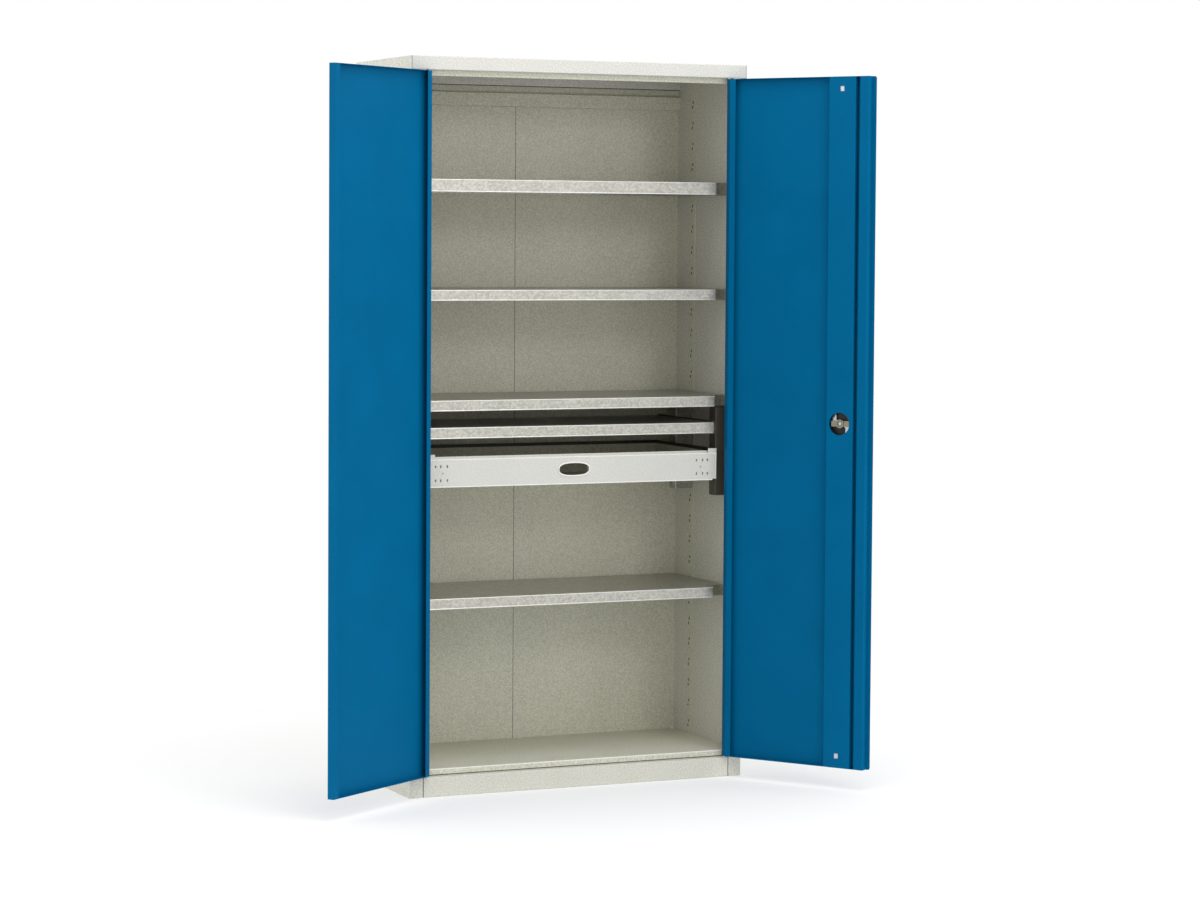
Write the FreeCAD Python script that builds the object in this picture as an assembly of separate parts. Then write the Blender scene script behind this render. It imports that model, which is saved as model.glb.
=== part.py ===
import FreeCAD, Part
import math
import os

os.makedirs("parts", exist_ok=True)

# A steel workshop cabinet with two inset doors, four shelves, a pull-out shelf and a drawer.
# Millimetres. X runs to the right, Y to the back, Z up. The origin is the middle of the
# carcass on the floor. Doors stand open at rest; the pull-out shelf and the drawer are in.

# Overall size of the carcass
WIDTH = 1000.0
DEPTH = 435.0
HEIGHT = 2000.0

# Sheet metal
SHEET = 1.0
BEND = 1.5
SEAM = 0.3
OVERRUN = 5.0

# Side panels, with the front stile folded from the same sheet
STILE_WIDTH = 40.0
STILE_RETURN = 26.0
STILE_LIP = 12.0
REAR_RETURN = 20.0

# Top panel with its fascia, and the rail that stops the doors
FASCIA_HEIGHT = 37.0
TOP_REAR_DROP = 53.0
TOP_REAR_SETBACK = 8.0
STOP_DROP = 15.0
STOP_RISE = 22.0
STOP_HEM = 6.0
STOP_GAP = 0.6

# Rear rail under the top
REAR_RAIL_HEIGHT = 39.0
REAR_RAIL_DROP = 74.0
REAR_RAIL_DEPTH = 12.0

# Back panels, lapped at an off-centre seam
BACK_SEAM_OFFSET = 17.0
BACK_LAP = 20.0

# Plinth, floor and the channel under the floor
PLINTH_HEIGHT = 55.0
PLINTH_FOOT = 12.0
REAR_PLINTH_FLANGE = 22.0
FLOOR_HEIGHT = 73.0
FLOOR_FLANGE = 14.0
SUPPORT_WIDTH = 60.0
SCREW_HEAD_RADIUS = 4.0
SCREW_HEAD_HEIGHT = 2.0
FLOOR_SCREW_INSET = 12.0

# Slotted uprights on the side walls
UPRIGHT_WIDTH = 40.0
UPRIGHT_SHEET = 1.5
FRONT_UPRIGHT_DEPTH = 97.0
REAR_UPRIGHT_INSET = 98.0
SLOT_PITCH = 60.0
SLOT_BASE = 101.5
SLOT_WIDTH = 7.0
SLOT_HEIGHT = 8.0
SLOT_PAIR_SPACING = 14.0
SLOT_PAIR_SHIFT = 2.0

# Shelves, each hung a little above a pair of slots
SHELF_LEVEL_SHARES = (0.831, 0.681, 0.531, 0.261)
SHELF_RISE = 11.0
SHELF_LIP = 30.0
TOP_SHELF_LIP = 35.0
SHELF_LIP_RETURN = 12.0
FRONT_SETBACK = 45.0
SHELF_NOTCH_WIDTH = 69.0
SHELF_NOTCH_DEPTH = 50.0
SHELF_SIDE_GAP = 4.5
REAR_GAP = 8.0
CLIP_SHEET = 1.2
CLIP_WIDTH = 24.0
CLIP_REACH = 14.0
CLIP_RISE = 22.0

# Slide brackets: two posts on each side wall, hanging under the third shelf
BRACKET_REACH = 59.0
BRACKET_DEPTH = 40.0
BRACKET_HEIGHT = 250.0
BRACKET_FRONT = 58.0
BRACKET_SHEET = 1.2

# Telescopic slides of three nested channels
SLIDE_HEIGHT = 36.0
SLIDE_THICKNESS = 12.5
SLIDE_WALL = 1.2
SLIDE_GAP = 0.4
SLIDE_REAR_GAP = 7.0

# Pull-out shelf
TRAY_DROP = 74.0
TRAY_LIP = 31.0
TRAY_SLIDE_DROP = 15.0

# Drawer
DRAWER_DROP = 154.0
DRAWER_WALL_HEIGHT = 80.0
DRAWER_SLIDE_DROP = 53.0
DRAWER_FRONT_OVERHANG = 9.5
DRAWER_FRONT_HEIGHT = 77.0
DRAWER_FRONT_SHEET = 1.2
DRAWER_FRONT_LEDGE = 9.0
DRAWER_FRONT_RIM = 6.5
TAB_WIDTH = 26.0
TAB_HEIGHT = 13.0
CORNER_STEP_WIDTH = 12.0
CORNER_STEP_HEIGHT = 4.0
FINGER_HOLE_WIDTH = 90.0
FINGER_HOLE_HEIGHT = 34.0
FINGER_HOLE_END_HEIGHT = 26.0
FINGER_HOLE_CORNER = 12.0
FINGER_HOLE_RISE = 3.0
FINGER_RIM_WIDTH = 3.0
FINGER_RIM_PROUD = 1.2
PUNCH_COLUMN_INSETS = (28.0, 43.0, 62.0)
PUNCH_ROW_RISE = 19.0
PUNCH_WIDTH = 3.5
PUNCH_HEIGHT = 7.0
PUNCH_DOT_INSET = 49.0
PUNCH_DOT_RADIUS = 1.8
TRIM_WIDTH = 5.0
TRIM_HEIGHT = 9.0
TRIM_GRIP = 1.5
TRIM_SLACK = 0.05

# Doors
DOOR_THICKNESS = 20.0
DOOR_TOP_GAP = 3.0
DOOR_BOTTOM_GAP = 5.0
DOOR_MIDDLE_GAP = 4.0
DOOR_SIDE_GAP = 3.0
HINGE_BEVEL = 21.0
HINGE_FLANGE = 18.0
LEFT_FREE_FLANGE = 22.0
RIGHT_FREE_FLANGE = 27.0
LEFT_DOOR_ANGLE = 146.0
RIGHT_DOOR_ANGLE = 124.0
COVER_STRIP_OVERLAP = 12.0
COVER_STRIP_SEAT = 16.0
COVER_STRIP_SHEET = 1.2
COVER_STRIP_LIFT = 0.6
COVER_STRIP_CORNER = 6.0

# Door pivots: pins in the carcass, turning in blocks inside the door ends
PIVOT_INSET = 12.0
PIVOT_SETBACK = 3.6
PIVOT_RADIUS = 2.0
PIVOT_RUNNING_FIT = 0.05
PIVOT_ENTRY = 12.0
PIVOT_COLLAR_RADIUS = 3.4
PIVOT_TAIL = 2.0
PIVOT_BLOCK_HEIGHT = 16.0
PIVOT_BLOCK_WIDTH = 15.0
PIVOT_BLOCK_EDGE = 3.4
PIVOT_HOLE_CLEARANCE = 0.6
PIVOT_FLOAT = 0.3

# Lock on the right door
BAND_WIDTH = 82.0
BAND_GROOVE = 14.0
LOCK_HEIGHT = 1010.0
LOCK_HOLE_RADIUS = 31.0
WINDOW_WIDTH = 12.0
WINDOW_HEIGHT = 14.0
WINDOW_INSET = 33.0
LOCK_PLATE_WIDTH = 64.0
LOCK_PLATE_HEIGHT = 100.0
LOCK_PLATE_SHEET = 2.0
SPINDLE_RADIUS = 4.5
SPINDLE_FIT = 0.05
BUSH_RADIUS = 8.0
BUSH_LENGTH = 6.0
CAM_RADIUS = 20.0
CAM_LENGTH = 54.0
CAM_WIDTH = 16.0
CAM_CORNER = 3.0
CAM_SHEET = 3.0
CAM_SETBACK = 11.0
CAM_BOSS_RADIUS = 12.0
CAM_BOSS_RISE = 2.5
CAM_RECESS_RADIUS = 7.5
CAM_PIN_RADIUS = 2.5
CAM_SCREW_RADIUS = 2.5
CAM_SCREW_DEPTH = 9.0
CAM_SCREW_HEAD_RADIUS = 5.0
CAM_SCREW_HEAD_HEIGHT = 3.0
ROD_WIDTH = 12.0
ROD_SHEET = 2.5
ROD_SETBACK = 6.5
ROD_END_GAP = 3.0
ROD_STRAIGHT = 110.0
FORK_MOUTH = 10.5
FORK_ARM = 3.0
FORK_SLACK = 0.5
GUIDE_WIDTH = 26.0
GUIDE_HEIGHT = 20.0
GUIDE_SLACK = 0.3
ROD_HOLE_SLACK = 2.0
ESCUTCHEON_RADIUS = 29.0
ESCUTCHEON_HEIGHT = 4.0
ESCUTCHEON_EDGE = 1.5
HANDLE_HUB_RADIUS = 19.0
HANDLE_HUB_HEIGHT = 14.0
HANDLE_LENGTH = 92.0
HANDLE_WIDTH = 17.0
HANDLE_HEIGHT = 24.0
HANDLE_EDGE = 3.0
HANDLE_GAP = 0.3
CYLINDER_RADIUS = 6.5
CYLINDER_FIT = 0.05
CYLINDER_PROUD = 1.5
CYLINDER_LENGTH = 16.0
KEYWAY_WIDTH = 1.6
KEYWAY_LENGTH = 7.0
KEYWAY_DEPTH = 3.0

# Planes and lines that several pieces share
RIGHT = WIDTH / 2
FRONT = -DEPTH / 2
BACK = DEPTH / 2
WALL = RIGHT - SHEET
BACK_FACE = BACK - 2 * SHEET
ROOF = HEIGHT - SHEET
FASCIA_BOTTOM = HEIGHT - FASCIA_HEIGHT
STOP_FACE = FRONT + DOOR_THICKNESS + STOP_GAP
SHELF_FRONT = FRONT + FRONT_SETBACK
SHELF_BACK = BACK_FACE - REAR_GAP
SHELF_SIDE = WALL - SHELF_SIDE_GAP
BRACKET_FACE = RIGHT - BRACKET_REACH
TRAY_SIDE = BRACKET_FACE - SLIDE_THICKNESS
DOOR_BOTTOM = PLINTH_HEIGHT + DOOR_BOTTOM_GAP
DOOR_TOP = FASCIA_BOTTOM - DOOR_TOP_GAP
DOOR_EDGE = RIGHT - STILE_WIDTH - DOOR_SIDE_GAP
DOOR_FREE_EDGE = DOOR_MIDDLE_GAP / 2
DOOR_INNER_FACE = FRONT + DOOR_THICKNESS
HINGE_CORNER = DOOR_EDGE - HINGE_BEVEL
PIVOT_X = RIGHT - STILE_WIDTH - PIVOT_INSET
PIVOT_Y = FRONT + PIVOT_SETBACK
BAND_NEAR = DOOR_FREE_EDGE + RIGHT_FREE_FLANGE + BAND_GROOVE
BAND_FAR = BAND_NEAR + BAND_WIDTH
LOCK_X = (BAND_NEAR + BAND_FAR) / 2
ROD_Y = FRONT + ROD_SETBACK
CAM_Y = FRONT + CAM_SETBACK
FRONT_UPRIGHT_Y = FRONT + FRONT_UPRIGHT_DEPTH
REAR_UPRIGHT_Y = BACK - REAR_UPRIGHT_INSET

# Shelf tops, bottom of the slot pairs upwards
SLOT_COUNT = int((FASCIA_BOTTOM - SLOT_BASE) // SLOT_PITCH)


def slot_height(count):
    """Height of the middle of one slot pair."""
    return SLOT_BASE + SLOT_PITCH * count


def shelf_top(share):
    """Height of a shelf that hangs from the slot pair nearest to a share of the height."""
    return slot_height(round((share * HEIGHT - SLOT_BASE) / SLOT_PITCH)) + SHELF_RISE


SHELF_TOPS = [shelf_top(share) for share in SHELF_LEVEL_SHARES]
TRAY_TOP = SHELF_TOPS[2] - TRAY_DROP
DRAWER_TOP = SHELF_TOPS[2] - DRAWER_DROP
TRAY_SLIDE_Z = TRAY_TOP - TRAY_SLIDE_DROP
DRAWER_SLIDE_Z = DRAWER_TOP - DRAWER_SLIDE_DROP


def vec(x, y, z):
    return FreeCAD.Vector(x, y, z)


X_AXIS = vec(1, 0, 0)
Y_AXIS = vec(0, 1, 0)
Z_AXIS = vec(0, 0, 1)
ORIGIN = vec(0, 0, 0)


def block(x, y, z):
    """A block from three (low, high) pairs."""
    return Part.makeBox(x[1] - x[0], y[1] - y[0], z[1] - z[0], vec(x[0], y[0], z[0]))


def rod_along_y(radius, x, z, y):
    """A round bar along Y at (x, z), from y[0] to y[1]."""
    return Part.makeCylinder(radius, y[1] - y[0], vec(x, y[0], z), Y_AXIS)


def rod_along_z(radius, x, y, z):
    """A round bar along Z at (x, y), from z[0] to z[1]."""
    return Part.makeCylinder(radius, z[1] - z[0], vec(x, y, z[0]), Z_AXIS)


def joined(*shapes):
    """One solid made of overlapping or touching shapes."""
    return shapes[0].multiFuse(shapes[1:]).removeSplitter().Solids[0]


def less(shape, tools):
    """A shape with holes cut through it."""
    return shape.cut(Part.makeCompound(tools)).Solids[0]


def mirrored(shape):
    """The other hand of a piece, across the middle of the cabinet."""
    return shape.mirror(ORIGIN, X_AXIS)


PLANES = {
    "XY": (lambda a, b, c: vec(a, b, c), Z_AXIS),
    "YZ": (lambda a, b, c: vec(c, a, b), X_AXIS),
    "XZ": (lambda a, b, c: vec(a, c, b), Y_AXIS),
}


def bent_sheet(line, plane, span, thickness=SHEET, bend=BEND):
    """A folded sheet: the line along the middle of its thickness, with each corner bent to
    the inside radius, given thickness to both sides and drawn from span[0] to span[1]."""
    place, axis = PLANES[plane]
    half = thickness / 2
    middle_radius = bend + half
    points = [vec(a, b, 0) for a, b in line]
    ways = [(q - p).normalize() for p, q in zip(points, points[1:])]
    normals = [vec(-way.y, way.x, 0) for way in ways]

    def side(offset):
        """Lines and arcs of one face of the sheet, as lists of two or three points."""
        runs = []
        start = points[0] + normals[0] * offset
        for i in range(1, len(ways)):
            before, after = normals[i - 1], normals[i]
            turn = math.copysign(1, ways[i - 1].cross(ways[i]).z)
            angle = ways[i - 1].getAngle(ways[i])
            tangent = middle_radius * math.tan(angle / 2)
            entry = points[i] - ways[i - 1] * tangent
            leave = points[i] + ways[i] * tangent
            centre = entry + before * (middle_radius * turn)
            crown = centre - (before + after).normalize() * (turn * (middle_radius - turn * offset))
            runs.append([start, entry + before * offset])
            runs.append([entry + before * offset, crown, leave + after * offset])
            start = leave + after * offset
        runs.append([start, points[-1] + normals[-1] * offset])
        return runs

    upper = side(half)
    lower = [run[::-1] for run in side(-half)[::-1]]
    caps = [[upper[-1][-1], lower[0][0]], [lower[-1][-1], upper[0][0]]]
    edges = []
    for run in upper + caps[:1] + lower + caps[1:]:
        run = [place(p.x, p.y, span[0]) for p in run]
        curve = Part.Arc(*run) if len(run) == 3 else Part.LineSegment(*run)
        edges.append(curve.toShape())
    face = Part.Face(Part.Wire(edges))
    return face.extrude(axis * (span[1] - span[0]))


def plate(points, plane, span):
    """A flat plate with straight edges, drawn from span[0] to span[1]."""
    place, axis = PLANES[plane]
    corners = [place(a, b, span[0]) for a, b in points]
    face = Part.Face(Part.makePolygon(corners + corners[:1]))
    return face.extrude(axis * (span[1] - span[0]))


def write(name, *solids):
    """One named node, of one solid or of a group of like solids."""
    shape = solids[0] if len(solids) == 1 else Part.makeCompound(list(solids))
    shape.exportStep("parts/" + name + ".step")


# Side panels: skin, front stile and rear return folded from one sheet
def right_side_panel():
    half = SHEET / 2
    stile = RIGHT - STILE_WIDTH + half
    skin = RIGHT - half
    line = [
        (RIGHT - REAR_RETURN, BACK - half),
        (skin, BACK - half),
        (skin, FRONT + half),
        (stile, FRONT + half),
        (stile, FRONT + STILE_RETURN),
        (stile + STILE_LIP, FRONT + STILE_RETURN),
    ]
    folded = bent_sheet(line, "XY", (0, FASCIA_BOTTOM))
    upper = block((WALL, RIGHT), (FRONT + SHEET + SEAM, BACK), (FASCIA_BOTTOM, ROOF))
    upper_return = block((RIGHT - REAR_RETURN, RIGHT), (BACK - SHEET, BACK), (FASCIA_BOTTOM, ROOF))
    return joined(folded, upper, upper_return)


def write_pair(name, shape):
    write("right_" + name, shape)
    write("left_" + name, mirrored(shape))


write_pair("side_panel", right_side_panel())


# Top panel: roof, fascia whose underside return meets the stop rail, and a rear flange
def rod_hole(z):
    """Tool for the hole that a lock rod enters when the door is shut and locked."""
    x = (LOCK_X - ROD_WIDTH / 2 - ROD_HOLE_SLACK, LOCK_X + ROD_WIDTH / 2 + ROD_HOLE_SLACK)
    y = (ROD_Y - ROD_HOLE_SLACK, ROD_Y + ROD_SHEET + ROD_HOLE_SLACK)
    return block(x, y, (z - OVERRUN, z + OVERRUN))


def pivot_holes(radius, z):
    """Tools for the two door pivots, through a level sheet at z."""
    return [rod_along_z(radius, side * PIVOT_X, PIVOT_Y, (z - OVERRUN, z + OVERRUN)) for side in (-1, 1)]


def top_panel():
    half = SHEET / 2
    flange = BACK_FACE - TOP_REAR_SETBACK - half
    line = [
        (flange, HEIGHT - TOP_REAR_DROP),
        (flange, HEIGHT - half),
        (FRONT + half, HEIGHT - half),
        (FRONT + half, FASCIA_BOTTOM + half),
        (STOP_FACE + SHEET, FASCIA_BOTTOM + half),
    ]
    cap = bent_sheet(line, "YZ", (-RIGHT, RIGHT))
    rear_edge = block((-RIGHT, RIGHT), (flange - OVERRUN, BACK), (ROOF, HEIGHT))
    inner = WALL - SEAM
    tools = [rod_hole(FASCIA_BOTTOM)] + pivot_holes(PIVOT_RADIUS, FASCIA_BOTTOM + half)
    for low, high in ((-RIGHT, -inner), (inner, RIGHT)):
        tools.append(block((low, high), (FRONT + SHEET, BACK), (HEIGHT - TOP_REAR_DROP, ROOF)))
    return less(joined(cap, rear_edge), tools)


write("top_panel", top_panel())


# Stop rail: between the stiles behind the fascia return, with a hem that the doors meet
def top_stop_rail():
    bottom = FASCIA_BOTTOM - STOP_DROP
    reach = RIGHT - STILE_WIDTH - SEAM
    web_y = (STOP_FACE + SHEET, STOP_FACE + 2 * SHEET)
    web = block((-reach, reach), web_y, (bottom, FASCIA_BOTTOM + STOP_RISE))
    hem = block((-reach, reach), (STOP_FACE, STOP_FACE + SHEET), (bottom, bottom + STOP_HEM))
    rail = joined(web, hem)
    edges = [e for e in rail.Edges if abs(e.BoundBox.ZMax - bottom) < SEAM and e.BoundBox.XLength > reach]
    return rail.makeFillet(SHEET - SEAM / 2, edges)


write("top_stop_rail", top_stop_rail())


# Rear rail: a channel across the back under the roof
def rear_top_rail():
    half = SHEET / 2
    top = HEIGHT - REAR_RAIL_DROP
    bottom = top - REAR_RAIL_HEIGHT
    face = BACK_FACE - REAR_RAIL_DEPTH
    edge = BACK_FACE - SEAM
    line = [(edge, top - half), (face, top - half), (face, bottom + half), (edge, bottom + half)]
    return bent_sheet(line, "YZ", (-WALL + SEAM, WALL - SEAM))


write("rear_top_rail", rear_top_rail())


# Back: two sheets, the left one stepped behind the right one at the seam
def back_panels():
    seam = -BACK_SEAM_OFFSET
    top = ROOF - SEAM
    edge = WALL - BEND - SEAM
    right = block((seam, edge), (BACK_FACE, BACK_FACE + SHEET), (0, top))
    left = block((-edge, seam - SEAM), (BACK_FACE, BACK_FACE + SHEET), (0, top))
    lap_y = (BACK_FACE + SHEET, BACK)
    lap = block((seam - BACK_LAP, seam + BACK_LAP), lap_y, (0, top))
    return joined(left, lap), right


BACK_LEFT, BACK_RIGHT = back_panels()
write("back_panel_left", BACK_LEFT)
write("back_panel_right", BACK_RIGHT)


# Three screws along the rear edge of the floor: one at each side and one in the middle
def floor_screw_places():
    side = WALL - FLOOR_SCREW_INSET
    return [(x, BACK_FACE - FLOOR_SCREW_INSET) for x in (-side, 0, side)]


def floor_screw_holes():
    """Tools for the screw holes, through the floor and the flange under it."""
    z = (FLOOR_HEIGHT - FLOOR_FLANGE, FLOOR_HEIGHT + OVERRUN)
    return [rod_along_z(SCREW_HEAD_RADIUS / 2, x, y, z) for x, y in floor_screw_places()]


# Plinth: front plate with a ledge that carries the floor lip and the lower pivots
def front_plinth():
    half = SHEET / 2
    ledge = STOP_FACE + 2 * SHEET + BEND
    line = [
        (ledge, PLINTH_HEIGHT - half),
        (FRONT + half, PLINTH_HEIGHT - half),
        (FRONT + half, half),
        (FRONT + PLINTH_FOOT, half),
    ]
    reach = RIGHT - STILE_WIDTH - SEAM
    sheet = bent_sheet(line, "YZ", (-reach, reach))
    return less(sheet, [rod_hole(PLINTH_HEIGHT)] + pivot_holes(PIVOT_RADIUS, PLINTH_HEIGHT - half))


def rear_plinth():
    half = SHEET / 2
    face = BACK_FACE - SEAM - half
    top = FLOOR_HEIGHT - SHEET - half
    edge = face - REAR_PLINTH_FLANGE
    line = [(edge, top), (face, top), (face, half), (edge, half)]
    reach = WALL - SHEET - BEND - 2 * SEAM
    return less(bent_sheet(line, "YZ", (-reach, reach)), floor_screw_holes())


write("front_plinth", front_plinth())
write("rear_plinth", rear_plinth())


# Floor: a pan whose front lip is the lower door stop, on a channel that stands on the ground
def floor_panel():
    half = SHEET / 2
    lip = STOP_FACE + half
    line = [(lip, PLINTH_HEIGHT), (lip, FLOOR_HEIGHT - half), (BACK_FACE - SEAM, FLOOR_HEIGHT - half)]
    inner = RIGHT - STILE_WIDTH - SEAM
    front = bent_sheet(line, "YZ", (-inner, inner))
    edge = WALL - SEAM - half
    low = FLOOR_HEIGHT - FLOOR_FLANGE
    pan = [(-edge, low), (-edge, FLOOR_HEIGHT - half), (edge, FLOOR_HEIGHT - half), (edge, low)]
    rear = bent_sheet(pan, "XZ", (FRONT + STILE_RETURN + SHEET, BACK_FACE - SEAM))
    return less(joined(front, rear), floor_screw_holes())


def floor_screw(x, y):
    """A pan head on a plain shank."""
    head = rod_along_z(SCREW_HEAD_RADIUS, x, y, (FLOOR_HEIGHT, FLOOR_HEIGHT + SCREW_HEAD_HEIGHT))
    rim = [e for e in head.Edges if e.BoundBox.ZMin > FLOOR_HEIGHT + SCREW_HEAD_HEIGHT / 2 and e.Closed]
    head = head.makeFillet(SCREW_HEAD_HEIGHT / 2, rim[:1])
    shank = rod_along_z(SCREW_HEAD_RADIUS / 2 - SEAM, x, y, (FLOOR_HEIGHT - FLOOR_FLANGE / 2, FLOOR_HEIGHT))
    return joined(head, shank)


def floor_support():
    half = SHEET / 2
    edge = SUPPORT_WIDTH / 2
    top = FLOOR_HEIGHT - SHEET
    line = [(-edge, top), (-edge, half), (edge, half), (edge, top)]
    ledge = STOP_FACE + 2 * SHEET + BEND
    return bent_sheet(line, "XZ", (ledge + SEAM, BACK_FACE - REAR_PLINTH_FLANGE - 2 * SHEET))


write("floor_panel", floor_panel())
write("floor_support", floor_support())
write("floor_screws", *[floor_screw(x, y) for x, y in floor_screw_places()])


# Slotted uprights: strips on the side walls, punched with a pair of slots at every pitch
def right_upright(y):
    low = FLOOR_HEIGHT + SEAM
    high = FASCIA_BOTTOM
    half = UPRIGHT_WIDTH / 2
    strip = block((WALL - UPRIGHT_SHEET, WALL), (y - half, y + half), (low, high))
    tools = []
    for count in range(SLOT_COUNT):
        for way in (-1, 1):
            middle_y = y - way * SLOT_PAIR_SHIFT
            middle_z = slot_height(count) + way * SLOT_PAIR_SPACING / 2
            tools.append(block(
                (WALL - UPRIGHT_SHEET - OVERRUN, WALL + OVERRUN),
                (middle_y - SLOT_WIDTH / 2, middle_y + SLOT_WIDTH / 2),
                (middle_z - SLOT_HEIGHT / 2, middle_z + SLOT_HEIGHT / 2),
            ))
    return less(strip, tools)


write_pair("front_upright", right_upright(FRONT_UPRIGHT_Y))
write_pair("rear_upright", right_upright(REAR_UPRIGHT_Y))


# Shelves: a pan with a deep front lip between the stiles and set-back corners behind them
def shelf(top, lip):
    half = SHEET / 2
    level = top - half
    low = top - lip + half
    reach = RIGHT - SHELF_NOTCH_WIDTH
    line = [
        (SHELF_FRONT + SHELF_LIP_RETURN, low),
        (SHELF_FRONT + half, low),
        (SHELF_FRONT + half, level),
        (SHELF_BACK - half, level),
        (SHELF_BACK - half, low),
    ]
    middle = bent_sheet(line, "YZ", (-reach, reach))
    corner = SHELF_FRONT + SHELF_NOTCH_DEPTH
    side = SHELF_SIDE - half
    wing_line = [(reach - OVERRUN, level), (side, level), (side, low - half)]
    wing = bent_sheet(wing_line, "XZ", (corner, SHELF_BACK))
    corner_lip = block((reach - SHEET, SHELF_SIDE - SHEET), (corner, corner + SHEET), (low - half, level))
    notch_side = block((reach - SHEET, reach), (SHELF_FRONT + SHEET + BEND, corner), (low - half, level))
    rear_lip = block((reach - SHEET, SHELF_SIDE - SHEET), (SHELF_BACK - SHEET, SHELF_BACK), (low, level))
    right = [wing, corner_lip, notch_side, rear_lip]
    return joined(middle, *right, *[mirrored(piece) for piece in right])


def right_clip(top, lip, y):
    """An angle hooked on an upright: the shelf's side flange stands on its tongue."""
    half = CLIP_SHEET / 2
    plate_x = WALL - UPRIGHT_SHEET - half
    seat = top - lip - half
    line = [(plate_x, seat + CLIP_RISE), (plate_x, seat), (plate_x - CLIP_REACH, seat)]
    return bent_sheet(line, "XZ", (y - CLIP_WIDTH / 2, y + CLIP_WIDTH / 2), CLIP_SHEET)


def shelf_clips(top, lip):
    right = [right_clip(top, lip, y) for y in (FRONT_UPRIGHT_Y, REAR_UPRIGHT_Y)]
    return right + [mirrored(clip) for clip in right]


for number, top in enumerate(SHELF_TOPS, start=1):
    lip = TOP_SHELF_LIP if number == 1 else SHELF_LIP
    write(f"shelf_{number}", shelf(top, lip))
    write(f"shelf_{number}_clips", *shelf_clips(top, lip))


# Slide brackets: channels on the side walls that carry the fixed rails of both slides
BRACKET_TOP = SHELF_TOPS[2] - SHELF_LIP - CLIP_SHEET - SEAM


def right_bracket(y):
    half = BRACKET_SHEET / 2
    far = y + BRACKET_DEPTH
    wall = WALL - UPRIGHT_SHEET - SEAM / 2
    face = BRACKET_FACE + half
    line = [(wall, y + half), (face, y + half), (face, far - half), (wall, far - half)]
    return bent_sheet(line, "XY", (BRACKET_TOP - BRACKET_HEIGHT, BRACKET_TOP), BRACKET_SHEET)


write_pair("front_slide_bracket", right_bracket(FRONT + BRACKET_FRONT))
write_pair("rear_slide_bracket", right_bracket(REAR_UPRIGHT_Y - BRACKET_DEPTH / 2))


# Telescopic slides: fixed rail on the brackets, middle rail, and inner rail on the load
SLIDE_START = FRONT + BRACKET_FRONT
SLIDE_END = SHELF_BACK - SLIDE_REAR_GAP


def channel(back, lips, height, middle_z):
    """A C-shaped rail: web at x = back, lips that end at x = lips."""
    half = SLIDE_WALL / 2
    inward = math.copysign(half, lips - back)
    rise = height / 2 - half
    web = back + inward
    high = middle_z + rise
    low = middle_z - rise
    line = [(lips, high), (web, high), (web, low), (lips, low)]
    return bent_sheet(line, "XZ", (SLIDE_START, SLIDE_END), SLIDE_WALL, SLIDE_WALL / 2)


STEP = SLIDE_WALL + SLIDE_GAP
MIDDLE_RAIL_HEIGHT = SLIDE_HEIGHT - 2 * STEP
INNER_RAIL_HEIGHT = MIDDLE_RAIL_HEIGHT - 2 * STEP


def right_fixed_rail(z):
    return channel(BRACKET_FACE, TRAY_SIDE + SLIDE_WALL, SLIDE_HEIGHT, z)


def right_middle_rail(z):
    return channel(BRACKET_FACE - STEP, TRAY_SIDE + STEP, MIDDLE_RAIL_HEIGHT, z)


def right_inner_rail(z):
    return channel(TRAY_SIDE, BRACKET_FACE - 2 * STEP - SLIDE_GAP, INNER_RAIL_HEIGHT, z)


for load, z in (("tray", TRAY_SLIDE_Z), ("drawer", DRAWER_SLIDE_Z)):
    write_pair(load + "_fixed_rail", right_fixed_rail(z))
    middle_rail = right_middle_rail(z)
    write(load + "_middle_rails", middle_rail, mirrored(middle_rail))
    inner_rail = right_inner_rail(z)
    write(load + "_inner_rails", inner_rail, mirrored(inner_rail))


# Pull-out shelf: a pan between the inner rails
def tray_panel():
    half = SHEET / 2
    level = TRAY_TOP - half
    low = TRAY_TOP - TRAY_LIP + half
    line = [
        (SHELF_FRONT + SHELF_LIP_RETURN, low),
        (SHELF_FRONT + half, low),
        (SHELF_FRONT + half, level),
        (SHELF_BACK - half, level),
        (SHELF_BACK - half, low),
    ]
    middle = bent_sheet(line, "YZ", (-TRAY_SIDE, TRAY_SIDE))
    flange_y = (SHELF_FRONT + half, SHELF_BACK - half)
    right = block((TRAY_SIDE - SHEET, TRAY_SIDE), flange_y, (low - half, level))
    return joined(middle, right, mirrored(right))


write("tray_panel", tray_panel())


# Drawer: an open box of folded sheet behind a separate front
DRAWER_FACE = SHELF_FRONT + DRAWER_FRONT_SHEET
DRAWER_BOTTOM = DRAWER_TOP - DRAWER_WALL_HEIGHT
DRAWER_START = DRAWER_FACE + DRAWER_FRONT_LEDGE - DRAWER_FRONT_SHEET / 2
DRAWER_FRONT_SIDE = TRAY_SIDE + DRAWER_FRONT_OVERHANG
FRONT_LOW = DRAWER_BOTTOM - CORNER_STEP_HEIGHT + SHEET
FRONT_HIGH = FRONT_LOW + DRAWER_FRONT_HEIGHT
FRONT_MIDDLE = (FRONT_LOW + FRONT_HIGH) / 2


def drawer_body():
    half = SHEET / 2
    side = TRAY_SIDE - half
    floor = DRAWER_BOTTOM + half
    line = [(-side, DRAWER_TOP), (-side, floor), (side, floor), (side, DRAWER_TOP)]
    trough = bent_sheet(line, "XZ", (DRAWER_START, SHELF_BACK))
    rear = block((-side, side), (SHELF_BACK - SHEET, SHELF_BACK), (floor, DRAWER_TOP))
    front_z = (floor, FRONT_HIGH + DRAWER_FRONT_RIM - SHEET)
    front = block((-side, side), (DRAWER_START, DRAWER_START + SHEET), front_z)
    return less(joined(trough, rear, front), [finger_hole(0)])


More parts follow.
